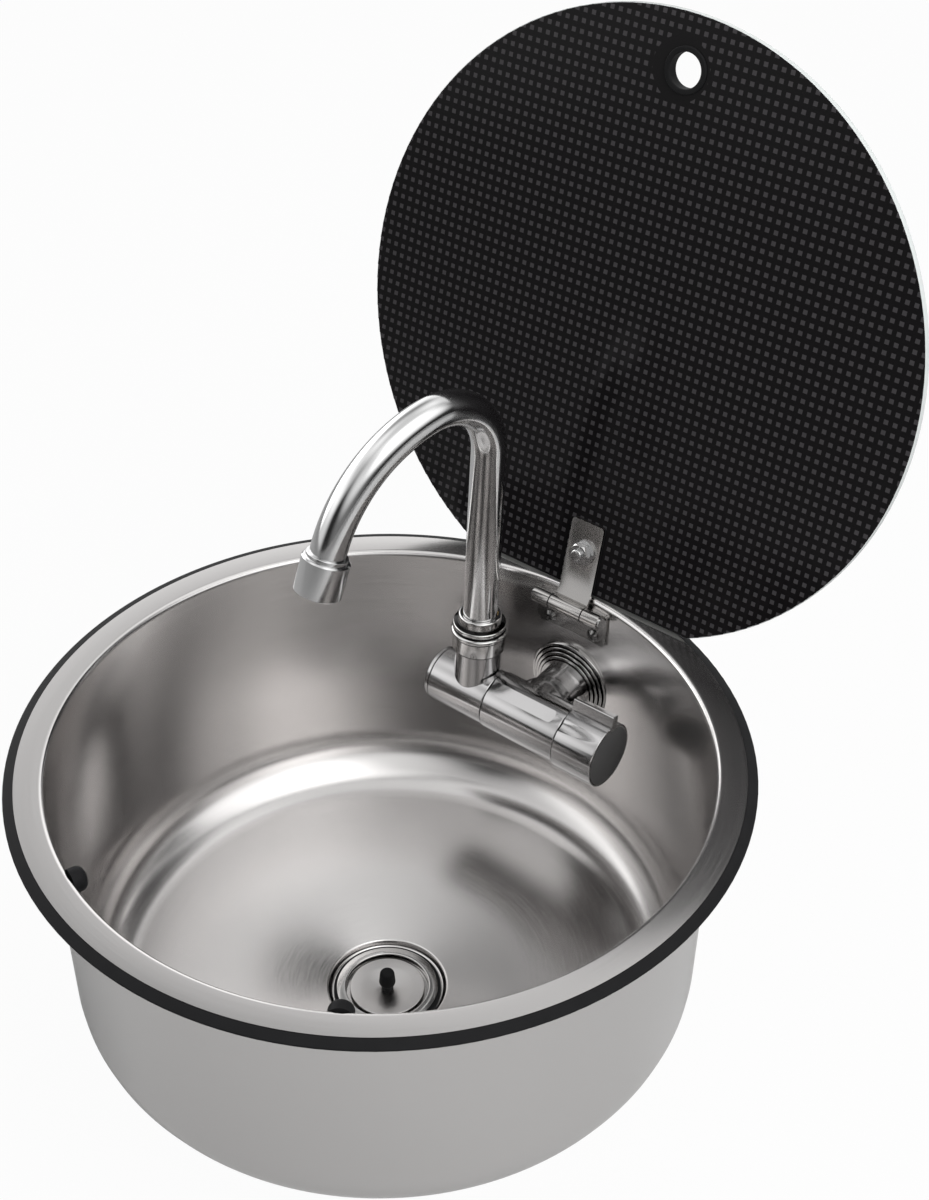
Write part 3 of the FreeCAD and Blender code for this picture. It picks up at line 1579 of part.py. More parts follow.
def main():
    """Write one STEP file for each node."""
    os.makedirs("parts", exist_ok=True)
    for name, make in NODES.items():
        shape = make()
        shape.exportStep(f"parts/{name}.step")
        box = shape.BoundBox
        print(
            f"{name}: solids {len(shape.Solids)} valid {shape.isValid()} volume {shape.Volume:.0f}"
            f" x {box.XMin:.1f} {box.XMax:.1f} y {box.YMin:.1f} {box.YMax:.1f}"
            f" z {box.ZMin:.1f} {box.ZMax:.1f}"
        )


main()
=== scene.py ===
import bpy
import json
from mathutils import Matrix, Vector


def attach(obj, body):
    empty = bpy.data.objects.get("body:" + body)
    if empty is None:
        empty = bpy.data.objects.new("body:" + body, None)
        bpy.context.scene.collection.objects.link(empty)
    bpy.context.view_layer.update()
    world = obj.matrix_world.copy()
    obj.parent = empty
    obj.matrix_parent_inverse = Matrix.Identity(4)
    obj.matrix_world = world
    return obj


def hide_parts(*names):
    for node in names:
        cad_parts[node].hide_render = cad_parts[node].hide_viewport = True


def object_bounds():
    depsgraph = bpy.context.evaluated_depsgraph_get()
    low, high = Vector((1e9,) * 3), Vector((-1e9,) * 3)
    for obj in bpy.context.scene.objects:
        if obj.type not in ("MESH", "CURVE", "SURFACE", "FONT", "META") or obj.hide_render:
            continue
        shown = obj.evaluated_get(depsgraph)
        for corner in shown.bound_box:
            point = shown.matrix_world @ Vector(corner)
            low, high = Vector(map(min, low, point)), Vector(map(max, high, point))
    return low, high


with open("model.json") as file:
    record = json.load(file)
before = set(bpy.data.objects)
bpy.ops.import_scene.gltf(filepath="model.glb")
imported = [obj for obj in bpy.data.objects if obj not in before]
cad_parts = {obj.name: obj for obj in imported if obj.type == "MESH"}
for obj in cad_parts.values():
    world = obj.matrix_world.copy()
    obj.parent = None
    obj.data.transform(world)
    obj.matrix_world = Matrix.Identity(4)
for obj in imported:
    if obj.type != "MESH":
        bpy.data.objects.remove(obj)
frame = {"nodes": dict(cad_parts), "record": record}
cad_box = [list(corner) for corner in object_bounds()]

import json
import logging
import math
from dataclasses import dataclass, field
from enum import Enum
from typing import Sequence

import bmesh
import bpy
from mathutils import Matrix, Vector

LOG = logging.getLogger("camper_sink")
MM = 0.001
WHITE = (1.0, 1.0, 1.0, 1.0)
Profile = Sequence[tuple[float, float, float]]
Links = dict[int | str, bpy.types.NodeSocket]
Values = dict[int | str, object]

# Places on the axes that several pieces share
PIN_MM = (0.0, 165.86, -3.2)
TAP_MM = (0.0, 131.92, -62.0)
SPOUT_MM = (-38.0, 131.92, -62.0)
SPOUT_UP = (0.0, 0.05234, 0.99863)
FLANGE_MM = (1.5, 172.9, -62.0)

# The steps that round shapes are drawn in
CORNER_STEPS = 8
BOWL_STEPS = 256
PEG_STEPS = 48

# How near two points count as one, in a turned mesh and in a packed one
SAME_PLACE_MM = 1e-4
SAME_CORNER_MM = 0.002

# Noise keeps mostly to this range, which is stretched over the whole spread of a roughness
NOISE_RANGE = (0.3, 0.7)


class Grain(Enum):
    """The way a metal's surface was worked."""

    ROUND = "brushed round the upright axis"
    STRAIGHT = "brushed along the piece"
    POLISHED = "polished to a mirror"
    BLASTED = "satin all over"


# Colours, nodes and finishes


def to_linear(colour: str) -> tuple[float, float, float, float]:
    """Turns an sRGB hex colour into the linear values that shaders take.

    Args:
        colour: six hex digits with a leading hash.

    Returns:
        Linear red, green and blue, and an alpha of one.
    """
    channels = [int(colour[i : i + 2], 16) / 255 for i in (1, 3, 5)]
    linear = [c / 12.92 if c <= 0.04045 else ((c + 0.055) / 1.055) ** 2.4 for c in channels]
    return (linear[0], linear[1], linear[2], 1.0)


def add_node(
    tree: bpy.types.NodeTree,
    kind: str,
    links: Links | None = None,
    values: Values | None = None,
    **settings: object,
) -> bpy.types.Node:
    """Adds one node with its settings, socket values and incoming links.

    Args:
        tree: the node tree to add to.
        kind: the node's type name.
        links: input socket name or number to the output that feeds it.
        values: input socket name or number to its value.
        **settings: attributes of the node.

    Returns:
        The new node.
    """
    node = tree.nodes.new(kind)
    for name, value in settings.items():
        setattr(node, name, value)
    for key, value in (values or {}).items():
        node.inputs[key].default_value = value
    for key, source in (links or {}).items():
        tree.links.new(source, node.inputs[key])
    return node


def math_node(tree: bpy.types.NodeTree, operation: str, *inputs: object) -> bpy.types.NodeSocket:
    """Adds one arithmetic node.

    Args:
        tree: the node tree to add to.
        operation: what it works out.
        *inputs: sockets and numbers, in order.

    Returns:
        Its result.
    """
    links = {i: v for i, v in enumerate(inputs) if isinstance(v, bpy.types.NodeSocket)}
    values = {i: v for i, v in enumerate(inputs) if not isinstance(v, bpy.types.NodeSocket)}
    return add_node(tree, "ShaderNodeMath", links, values, operation=operation).outputs[0]


def colour_mix(
    tree: bpy.types.NodeTree, share: bpy.types.NodeSocket, low: object, high: object
) -> bpy.types.NodeSocket:
    """Mixes two colours.

    Args:
        tree: the node tree to add to.
        share: the share of the second colour.
        low: the first colour, or the socket that gives it.
        high: the second colour.

    Returns:
        The mixed colour.
    """
    first = {6: low} if isinstance(low, bpy.types.NodeSocket) else {}
    values = {7: high} if first else {6: low, 7: high}
    return add_node(tree, "ShaderNodeMix", {0: share, **first}, values, data_type="RGBA").outputs[2]


def start_material(name: str) -> tuple[bpy.types.Material, bpy.types.NodeTree, bpy.types.Node]:
    """Makes a material with a bare surface shader.

    Args:
        name: the material's name.

    Returns:
        The material, its node tree and its surface shader node.
    """
    material = bpy.data.materials.new(name)
    material.use_nodes = True
    tree = material.node_tree
    shader = next(n for n in tree.nodes if n.type == "BSDF_PRINCIPLED")
    return material, tree, shader


@dataclass(frozen=True)
class DarkLines:
    """Dark lines round an axis: dark joints where pieces meet, and painted shade in the corner of a turned
    step or in a groove.

    Attributes:
        start_mm: the point on the axis that places are counted from.
        along: the direction of the axis.
        at_mm: the places of the lines along the axis.
        reach_mm: how far from the axis they reach.
        width_mm: their width.
        rings_mm: the radii of lines that lie in a face across the axis.
        colour: their sRGB colour.
    """

    start_mm: tuple[float, float, float]
    along: tuple[float, float, float]
    at_mm: tuple[float, ...]
    reach_mm: float
    width_mm: float
    rings_mm: tuple[float, ...] = ()
    colour: str = "#242323"

    def build(self, tree: bpy.types.NodeTree, place: bpy.types.NodeSocket) -> bpy.types.NodeSocket:
        """Draws the lines.

        Args:
            tree: the material's node tree.
            place: the coordinates to draw on.

        Returns:
            One on a line and zero elsewhere.
        """
        start = tuple(c * MM for c in self.start_mm)
        arm = add_node(tree, "ShaderNodeVectorMath", {0: place}, {1: start}, operation="SUBTRACT").outputs[0]
        far = add_node(tree, "ShaderNodeVectorMath", {0: arm}, {1: self.along}, operation="DOT_PRODUCT")
        side = add_node(tree, "ShaderNodeVectorMath", {0: arm}, {1: self.along}, operation="CROSS_PRODUCT")
        away = add_node(tree, "ShaderNodeVectorMath", {0: side.outputs[0]}, operation="LENGTH")
        near = math_node(tree, "LESS_THAN", away.outputs["Value"], self.reach_mm * MM)
        line = 0.0
        for value, places in ((far, self.at_mm), (away, self.rings_mm)):
            for at in places:
                this = math_node(tree, "COMPARE", value.outputs["Value"], at * MM, self.width_mm * MM / 2)
                line = math_node(tree, "MAXIMUM", line, this)
        return math_node(tree, "MULTIPLY", line, near)


@dataclass(frozen=True)
class Metal:
    """A metal surface with the marks of how it was worked.

    Attributes:
        name: what the metal is and how it was finished.
        colour: its sRGB colour.
        roughness: the middle of its roughness.
        spread: how far the roughness wanders.
        grain: how the surface was worked.
        grain_mm: the spacing of its marks, coarser than real ones so that they show.
        depth_mm: the height of its marks.
        anisotropy: how far highlights stretch across the marks.
        lines: the dark lines that cross it, if any.
        arc_mm: the length that one radian counts for, so that round marks run long.
        straight: how many times as long as wide straight marks are.
    """

    name: str
    colour: str
    roughness: float
    spread: float = 0.02
    grain: Grain = Grain.BLASTED
    grain_mm: float = 0.8
    depth_mm: float = 0.0
    anisotropy: float = 0.0
    lines: DarkLines | None = None
    arc_mm: float = 4.0
    straight: float = 25.0

    def build(self) -> bpy.types.Material:
        """Makes the node material.

        Returns:
            The material.
        """
        material, tree, shader = start_material(self.name)
        shader.inputs["Base Color"].default_value = to_linear(self.colour)
        shader.inputs["Metallic"].default_value = 1.0
        shader.inputs["Anisotropic"].default_value = self.anisotropy
        place = add_node(tree, "ShaderNodeTexCoord").outputs["Object"]
        marks = self._marks(tree, place)
        # The lines darken the colour: dark joints, and painted shade in step corners and grooves.
        if self.lines:
            drawn = self.lines.build(tree, place)
            tint = colour_mix(tree, drawn, to_linear(self.colour), to_linear(self.lines.colour))
            tree.links.new(tint, shader.inputs["Base Color"])
        low, high = NOISE_RANGE
        limits = {
            "From Min": low,
            "From Max": high,
            "To Min": self.roughness - self.spread,
            "To Max": self.roughness + self.spread,
        }
        rough = add_node(tree, "ShaderNodeMapRange", {"Value": marks}, limits)
        tree.links.new(rough.outputs[0], shader.inputs["Roughness"])
        if self.depth_mm:
            bump = add_node(tree, "ShaderNodeBump", {"Height": marks}, {"Distance": self.depth_mm * MM})
            tree.links.new(bump.outputs[0], shader.inputs["Normal"])
        return material

    def _marks(self, tree: bpy.types.NodeTree, place: bpy.types.NodeSocket) -> bpy.types.NodeSocket:
        """Draws the tool marks.

        Args:
            tree: the material's node tree.
            place: the coordinates to draw on.

        Returns:
            A value near one half that follows the marks.
        """
        pitch = 1 / (self.grain_mm * MM)
        if self.grain is Grain.ROUND:
            parts = add_node(tree, "ShaderNodeSeparateXYZ", {0: place})
            flat = add_node(tree, "ShaderNodeVectorMath", {0: place}, {1: (1, 1, 0)}, operation="MULTIPLY")
            radius = add_node(tree, "ShaderNodeVectorMath", {0: flat.outputs[0]}, operation="LENGTH")
            turn = math_node(tree, "ARCTAN2", parts.outputs[1], parts.outputs[0])
            around = math_node(tree, "MULTIPLY", turn, self.arc_mm * MM)
            lengths = {0: radius.outputs["Value"], 1: around, 2: parts.outputs[2]}
            place = add_node(tree, "ShaderNodeCombineXYZ", lengths).outputs[0]
        elif self.grain is Grain.STRAIGHT:
            scale = (1 / self.straight, 1.0, 1.0)
            place = add_node(tree, "ShaderNodeMapping", {"Vector": place}, {"Scale": scale}).outputs[0]
        grit = {"Scale": pitch, "Detail": 3.0, "Roughness": 0.6}
        return add_node(tree, "ShaderNodeTexNoise", {"Vector": place}, grit).outputs[0]


@dataclass(frozen=True)
class Moulded:
    """A moulded rubber, plastic or ceramic surface.

    Attributes:
        name: what the material is and how it was made.
        colour: its sRGB colour.
        roughness: the middle of its roughness.
        grain_mm: the spacing of its fine grain.
        depth_mm: the height of its grain.
        ior: its index of refraction.
        gloss: how strongly it mirrors, where one half is plain for its index.
        spread: how far the roughness falls and rises in the grain.
        cloud_mm: the spacing of the soft clouds in its colour.
        cloud_gain: how much paler the clouds are.
        cloud_lift: the linear light that is added in a cloud, so that black shows them too.
    """

    name: str
    colour: str
    roughness: float
    grain_mm: float = 0.9
    depth_mm: float = 0.01
    ior: float = 1.5
    gloss: float = 0.5
    spread: tuple[float, float] = (0.06, 0.08)
    cloud_mm: float = 14.0
    cloud_gain: float = 1.25
    cloud_lift: float = 0.004

    def build(self) -> bpy.types.Material:
        """Makes the node material.

        Returns:
            The material.
        """
        material, tree, shader = start_material(self.name)
        shader.inputs["IOR"].default_value = self.ior
        shader.inputs["Specular IOR Level"].default_value = self.gloss
        place = add_node(tree, "ShaderNodeTexCoord").outputs["Object"]
        fine = {"Scale": 1 / (self.grain_mm * MM), "Detail": 2.0}
        grain = add_node(tree, "ShaderNodeTexNoise", {"Vector": place}, fine).outputs[0]
        wide = {"Scale": 1 / (self.cloud_mm * MM), "Detail": 4.0}
        clouds = add_node(tree, "ShaderNodeTexNoise", {"Vector": place}, wide).outputs[0]
        base = to_linear(self.colour)
        pale = tuple(min(c * self.cloud_gain + self.cloud_lift, 1.0) for c in base[:3]) + (1.0,)
        tree.links.new(colour_mix(tree, clouds, base, pale), shader.inputs["Base Color"])
        low, high = self.spread
        limits = {"To Min": self.roughness - low, "To Max": self.roughness + high}
        rough = add_node(tree, "ShaderNodeMapRange", {"Value": grain}, limits)
        tree.links.new(rough.outputs[0], shader.inputs["Roughness"])
        bump = add_node(tree, "ShaderNodeBump", {"Height": grain}, {"Distance": self.depth_mm * MM})
        tree.links.new(bump.outputs[0], shader.inputs["Normal"])
        return material


@dataclass(frozen=True)
class DottedGlass:
    """Toughened glass, printed black on its back with rows of small grey squares.

    Attributes:
        name: what the glass is and how it was printed.
        ground: the sRGB colour of the print.
        dot: the sRGB colour of the squares.
        edge: the sRGB colour of the bare ground edge.
        pitch_mm: the distances between squares, across and along the lid.
        square_mm: the side of a square.
        open_deg: how far the stored lid is turned up from flat.
        pin_mm: a point on the hinge pin.
        grip_mm: the grip hole's distance in front of the bowl's axis when the lid is shut.
        bare_mm: the radius round the grip hole that has no squares.
        faces_mm: the heights of its two faces when the lid is shut.
        edge_skin_mm: how far from a face its bare edge starts.
        ior: its index of refraction.
        gloss: how strongly it mirrors, where one half is plain glass.
        roughness: how far its mirror image blurs.
    """

    name: str = "printed toughened glass"
    ground: str = "#131213"
    dot: str = "#403e40"
    edge: str = "#c9cdcc"
    pitch_mm: tuple[float, float] = (5.19, 5.66)
    square_mm: float = 2.5
    open_deg: float = 104.0
    pin_mm: tuple[float, float, float] = PIN_MM
    grip_mm: float = 143.9
    bare_mm: float = 17.0
    faces_mm: tuple[float, float] = (4.2, 9.2)
    edge_skin_mm: float = 0.3
    ior: float = 1.52
    gloss: float = 0.1
    roughness: float = 0.16

    def build(self) -> bpy.types.Material:
        """Makes the node material.

        Returns:
            The material.
        """
        material, tree, shader = start_material(self.name)
        place = add_node(tree, "ShaderNodeTexCoord").outputs["Object"]
        turn = Matrix.Rotation(math.radians(self.open_deg), 3, "X")
        pin = Vector(self.pin_mm) * MM
        shut = {"Rotation": turn.to_euler(), "Location": pin - turn @ pin}
        laid = add_node(tree, "ShaderNodeMapping", {"Vector": place}, shut)
        height = add_node(tree, "ShaderNodeSeparateXYZ", {0: laid.outputs[0]}).outputs[2]
        middle, half = sum(self.faces_mm) / 2, (self.faces_mm[1] - self.faces_mm[0]) / 2
        rim = math_node(tree, "COMPARE", height, middle * MM, (half - self.edge_skin_mm) * MM)
        dots = self._dots(tree, laid.outputs[0])
        printed = colour_mix(tree, dots, to_linear(self.ground), to_linear(self.dot))
        colour = colour_mix(tree, rim, printed, to_linear(self.edge))
        tree.links.new(colour, shader.inputs["Base Color"])
        shader.inputs["Roughness"].default_value = self.roughness
        shader.inputs["IOR"].default_value = self.ior
        shader.inputs["Specular IOR Level"].default_value = self.gloss
        return material

    def _dots(self, tree: bpy.types.NodeTree, laid: bpy.types.NodeSocket) -> bpy.types.NodeSocket:
        """Draws the rows of squares.

        Args:
            tree: the material's node tree.
            laid: the place on the lid when it is shut.

        Returns:
            One on a square, and zero between squares and round the grip hole.
        """
        parts = add_node(tree, "ShaderNodeSeparateXYZ", {0: laid})
        inside = []
        for place, pitch in zip(parts.outputs[:2], self.pitch_mm):
            step = math_node(tree, "PINGPONG", place, pitch * MM / 2)
            inside.append(math_node(tree, "LESS_THAN", step, self.square_mm * MM / 2))
        flat = add_node(tree, "ShaderNodeVectorMath", {0: laid}, {1: (1, 1, 0)}, operation="MULTIPLY")
        grip = (0.0, -self.grip_mm * MM, 0.0)
        away = add_node(tree, "ShaderNodeVectorMath", {0: flat.outputs[0]}, {1: grip}, operation="DISTANCE")
        clear = math_node(tree, "GREATER_THAN", away.outputs["Value"], self.bare_mm * MM)
        return math_node(tree, "MULTIPLY", math_node(tree, "MULTIPLY", *inside), clear)


# The lines between elbow, barrel and knob, a 0.3 mm gap that is drawn 1 mm wide so that it shows.
TAP_JOINTS = DarkLines(TAP_MM, (1, 0, 0), (-61.6, -22.25, 29.6), 20.2, 1.0)
# The lines between the hinge's knuckles, a 0.3 mm gap that is drawn 0.8 mm wide so that it shows.
HINGE_JOINTS = DarkLines(PIN_MM, (1, 0, 0), (-10.15, 12.15), 5.2, 0.8)
# The inner corners of the wall flange's steps, whose shade is drawn 0.7 mm wide so that it shows.
FLANGE_STEP_SHADE = DarkLines(FLANGE_MM, (0, -1, 0), (), 30.0, 0.7, (24.6, 22.3, 20.0, 17.7))
# Painted shade in the grooves beside the collar's beads, and the dark line of its joint with the socket,
# drawn 0.8 mm wide so that they show.
COLLAR_GROOVE_SHADE_AND_JOINT = DarkLines(SPOUT_MM, SPOUT_UP, (33.3, 42.7, 46.3, 50.44), 19.0, 0.8)

# Pressed sheet, polished and then brushed fine in rounds: a soft mirror whose lights blur into broad bands.
BOWL_STEEL = Metal("brushed stainless steel", "#cdcbca", 0.2, 0.02, Grain.ROUND, 1.2)
# Stamped and tumbled sheet: a little darker than the bowl, with crisp lights on its rolled knuckles.
HINGE_STEEL = Metal("stamped stainless steel", "#b4b2b0", 0.15, 0.01, Grain.STRAIGHT, lines=HINGE_JOINTS)
# Zinc plate with a clear passivation: small bright sparks on the screw and bolt heads.
FASTENER = Metal("bright zinc-plated steel", "#c4c4c4", 0.15, 0.02)
# Stainless screws: the shade in their cross recess, too fine to show, is drawn as a darker head.
SCREW_STEEL = Metal("cross-recess screw steel", "#858483", 0.2, 0.02)
# Sheet brushed on a turntable: the light on it opens like a fan from the middle.
STRAINER_STEEL = Metal("round-brushed stainless steel", "#cfcdcc", 0.32, 0.02, Grain.ROUND, anisotropy=0.6)
# Polished plate over brass: hard bright and dark stripes along the tube.
SPOUT_CHROME = Metal("bright chrome plate", "#cccccc", 0.12, 0.01, Grain.POLISHED, 6.0)
# Plate over a fine satin: the same stripes, but softer. Its colour is a darker copy of the trim's plate, a
# painted shade that tones down the bright lights mirrored on the tap.
SHADED_TAP_CHROME = Metal("satin chrome plate", "#b2b1b1", 0.14, 0.01, lines=TAP_JOINTS)
# The same plate on the waste's flange, which has no lines.
TRIM_CHROME = Metal("satin chrome trim", "#c3c2c1", 0.13, 0.01)
# The same plate with painted shade in the corners of the steps that are turned in it.
FLANGE_CHROME = Metal("stepped satin chrome", "#b9b8b7", 0.13, 0.01, lines=FLANGE_STEP_SHADE)
# The same plate with painted shade in the grooves between the beads, and a dark line at its joint with the
# socket.
COLLAR_CHROME = Metal("beaded satin chrome", "#c3c2c1", 0.13, 0.01, lines=COLLAR_GROOVE_SHADE_AND_JOINT)
# Turned bar: warm yellow with fine turning marks.
BRASS = Metal("machined brass", "#c9a55c", 0.28, 0.05, Grain.STRAIGHT, depth_mm=0.002)
# Moulded EPDM: a matt black that hardly mirrors.
RUBBER = Moulded("moulded black rubber", "#161617", 0.55, ior=1.52, gloss=0.07)
# Moulded with a fine spark-eroded grain: dark grey with a weak, wide shine.
DARK_PLASTIC = Moulded("moulded dark ABS", "#454545", 0.42, 0.8, ior=1.53, gloss=0.25)
# Moulded and slightly waxy: off-white with a soft shine.
PALE_PLASTIC = Moulded("moulded white polypropylene", "#dcdcd8", 0.4, ior=1.49)
# Lapped discs: cream white and smooth.
CERAMIC = Moulded("ground alumina ceramic", "#efece4", 0.18, 0.8, 0.0, ior=1.76)
# Glass with a fired print on its back: near black, with faint grey squares and a pale ground edge.
PRINTED_GLASS = DottedGlass()


class Wardrobe:
    """Builds each finish once and hands it out."""

    def __init__(self) -> None:
        """Starts with no material built."""
        self._built: dict[str, bpy.types.Material] = {}

    def get(self, finish: Metal | Moulded | DottedGlass) -> bpy.types.Material:
        """Gives the material of a finish.

        Args:
            finish: the finish to build.

        Returns:
            Its one material.
        """
        if finish.name not in self._built:
            self._built[finish.name] = finish.build()
        return self._built[finish.name]


# Mesh helpers, in millimetres until a piece is finished


def round_corners(bm: bmesh.types.BMesh, verts: list[bmesh.types.BMVert], radii: Sequence[float]) -> None:
    """Rounds the corners of a chain of edges.

    Args:
        bm: the mesh that holds the chain.
        verts: the chain's points in order.
        radii: the corner radius at each point, zero for a sharp corner.
    """
    jobs = []
    for vert, radius in zip(verts, radii):
        if radius and len(vert.link_edges) == 2:
            a, b = (edge.other_vert(vert).co - vert.co for edge in vert.link_edges)
            jobs.append((vert, radius / math.tan(a.angle(b) / 2)))
    for vert, offset in jobs:
        bmesh.ops.bevel(
            bm,
            geom=[vert],
            offset=offset,
            offset_type="OFFSET",
            segments=CORNER_STEPS,
            profile=0.5,
            affect="VERTICES",
            clamp_overlap=False,
            material=-1,
        )


def turned(profile: Profile, steps: int) -> bmesh.types.BMesh:
    """Spins an open outline about Z.

    Args:
        profile: points of (radius, height, corner radius).
        steps: the number of faces round the axis.

    Returns:
        The turned mesh.
    """
    bm = bmesh.new()
    verts = [bm.verts.new((r, 0, z)) for r, z, _ in profile]
    for pair in zip(verts, verts[1:]):
        bm.edges.new(pair)
    round_corners(bm, verts, [p[2] for p in profile])
    bmesh.ops.spin(
        bm,
        geom=bm.verts[:] + bm.edges[:],
        cent=(0, 0, 0),
        axis=(0, 0, 1),
        dvec=(0, 0, 0),
        angle=math.tau,
        steps=steps,
        use_merge=True,
        use_normal_flip=False,
        use_duplicate=False,
    )
    bmesh.ops.remove_doubles(bm, verts=bm.verts[:], dist=SAME_PLACE_MM)
    bmesh.ops.recalc_face_normals(bm, faces=bm.faces[:])
    return bm


def node_copy(node: str) -> bmesh.types.BMesh:
    """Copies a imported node's mesh, with its loose triangles merged.

    Args:
        node: the node's name.

    Returns:
        The merged mesh, in millimetres.
    """
    bm = bmesh.new()
    bm.from_mesh(frame["nodes"][node].data)
    bmesh.ops.scale(bm, vec=(1 / MM,) * 3, verts=bm.verts[:])
    bmesh.ops.remove_doubles(bm, verts=bm.verts[:], dist=SAME_CORNER_MM)
    return bm


class Workshop:
    """Turns meshes in millimetres into finished pieces of the object."""

    def __init__(self, wardrobe: Wardrobe) -> None:
        """Keeps the wardrobe that dresses the pieces."""
        self.wardrobe = wardrobe
        self.body_of = {n: b for b, ns in frame["record"]["behaviour"]["bodies"].items() for n in ns}
        self.slot_of = {s["node"]: s["material_slot"] for s in frame["record"]["subparts"]}
        self.done: set[str] = set()

    def finish(
        self,
        node: str,
        bm: bmesh.types.BMesh,
        finish: Metal | Moulded | DottedGlass,
        sharp_deg: float = 32.0,
    ) -> bpy.types.Object:
        """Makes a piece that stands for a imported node.

        Args:
            node: the node that it stands for.
            bm: its mesh in millimetres, which is freed.
            finish: its finish.
            sharp_deg: edges sharper than this stay crisp.

        Returns:
            The piece.
        """
        bmesh.ops.scale(bm, vec=(MM,) * 3, verts=bm.verts[:])
        for face in bm.faces:
            face.smooth = True
        for edge in bm.edges:
            edge.smooth = len(edge.link_faces) == 2 and edge.calc_face_angle() < math.radians(sharp_deg)
        data = bpy.data.meshes.new(f"shown_{node}")
        bm.to_mesh(data)
        bm.free()
        piece = bpy.data.objects.new(f"shown_{node}", data)
        bpy.context.scene.collection.objects.link(piece)
        data.materials.append(self.wardrobe.get(finish))
        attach(piece, self.body_of[node])
        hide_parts(node)
        self.done.add(node)
        LOG.info("made %s: %d faces", node, len(data.polygons))
        return piece

    def dress(self, node: str, finish: Metal | Moulded | DottedGlass) -> None:
        """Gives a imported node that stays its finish."""
        materials = frame["nodes"][node].data.materials
        materials.clear()
        materials.append(self.wardrobe.get(finish))
        self.done.add(node)
        LOG.info("dressed %s", node)


# Sub-assemblies


@dataclass
class Bowl:
    """The pressed bowl, its gasket and the lid's bumpers, in millimetres and degrees.

    Attributes:
        rim_r: the rim's outer radius.
        sheet: the sheet's thickness.
        wall_top_r: the wall's inside radius at the rim's top, before the edge is rolled.
        draft_deg: how far the wall leans inwards on its way down.
        roll_r: the radius of the rolled edge.
        rim_top: the height of the rim's top.
        depth: how far the wall would meet the floor below it.
        corner_r: the radius between wall and floor.
        floor_fall: how far the floor falls towards the waste.
        recess_r: the radius of the waste's recess.
        recess_depth: its depth.
        recess_roll: the radius of its corners.
        seat_r: the radius of the waste's seat.
        waste_hole_r: the radius of the waste's hole.
        bumper_degs: the bearings of the two bumpers.
        bumper_z: their height.
        bumper_r: the radius of a bumper's head.
        bumper_reach: how far the head stands out of the wall.
        bumper_round: the radius of its dome.
        bumper_neck_r: the radius where it goes through the wall.
        bumper_foot_r: the radius of its foot behind the wall.
        bumper_foot: where the foot starts and ends behind the wall.
        seat_gap: how far the head stays off the wall.
    """

    rim_r: float = 190.0
    sheet: float = 0.8
    wall_top_r: float = 174.4
    draft_deg: float = 1.3
    roll_r: float = 3.0
    rim_top: float = 3.2
    depth: float = 163.1
    corner_r: float = 34.0
    floor_fall: float = 16.0
    recess_r: float = 34.0
    recess_depth: float = 3.6
    recess_roll: float = 1.6
    seat_r: float = 32.4
    waste_hole_r: float = 26.0
    bumper_degs: tuple[float, float] = (-112.0, -57.0)
    bumper_z: float = -2.6
    bumper_r: float = 6.5
    bumper_reach: float = 8.2
    bumper_round: float = 4.4
    bumper_neck_r: float = 2.4
    bumper_foot_r: float = 4.0
    bumper_foot: tuple[float, float] = (1.1, 2.7)
    seat_gap: float = 0.15

    def wall_r(self, z: float) -> float:
        """Gives the inside radius of the wall at a height."""
        return self.wall_top_r - (self.rim_top - z) * math.tan(math.radians(self.draft_deg))

    @property
    def floor_z(self) -> float:
        """The height where the wall would meet the floor."""
        return self.rim_top - self.depth

    @property
    def seat_z(self) -> float:
        """The height of the waste's seat."""
        return self.floor_z - self.floor_fall - self.recess_depth

    def build(self, shop: Workshop) -> None:
        """Builds and dresses the pieces.

        Args:
            shop: the workshop that finishes them.
        """
        path = [
            (self.rim_r, self.rim_top, 0),
            (self.wall_top_r, self.rim_top, self.roll_r),
            (self.wall_r(self.floor_z), self.floor_z, self.corner_r),
            (self.recess_r, self.floor_z - self.floor_fall, self.recess_roll),
            (self.seat_r, self.seat_z, self.recess_roll),
            (self.waste_hole_r, self.seat_z, 0),
        ]
        bm = turned(path, BOWL_STEPS)
        # The inside faces up, and the sheet gets its thickness behind it.
        if sum(f.normal.z * f.calc_area() for f in bm.faces) < 0:
            bmesh.ops.reverse_faces(bm, faces=bm.faces[:])
        piece = shop.finish("bowl", bm, BOWL_STEEL, sharp_deg=60.0)
        wall = piece.modifiers.new("sheet", "SOLIDIFY")
        wall.thickness = self.sheet * MM
        wall.offset = -1.0
        wall.use_even_offset = True
        shop.finish("rim_gasket", node_copy("rim_gasket"), RUBBER)
        shop.finish("lid_bumpers", self._bumpers(), RUBBER, sharp_deg=50.0)

    def _bumpers(self) -> bmesh.types.BMesh:
        """Turns one domed peg and puts it in its two places in the wall.

        Returns:
            Both pegs in one mesh.
        """
        near, far = self.bumper_foot
        path = [
            (0, -self.bumper_reach, 0),
            (self.bumper_r, -self.bumper_reach, self.bumper_round),
            (self.bumper_r, -self.seat_gap, 0),
            (self.bumper_neck_r, -self.seat_gap, 0),
            (self.bumper_neck_r, near, 0),
            (self.bumper_foot_r, near, 0),
            (self.bumper_neck_r, far, 0),
            (0, far, 0),
        ]
        bm = turned(path, PEG_STEPS)
        second = bmesh.ops.duplicate(bm, geom=bm.verts[:] + bm.edges[:] + bm.faces[:])["geom"]
        second = [v for v in second if isinstance(v, bmesh.types.BMVert)]
        first = list(set(bm.verts) - set(second))
        for verts, degrees in zip((first, second), self.bumper_degs):
            bearing = math.radians(degrees)
            out = Vector((math.cos(bearing), math.sin(bearing), 0))
            at = out * self.wall_r(self.bumper_z) + Vector((0, 0, self.bumper_z))
            place = Matrix.Translation(at) @ out.to_track_quat("Z", "Y").to_matrix().to_4x4()
            bmesh.ops.transform(bm, matrix=place, verts=verts)
        return bm


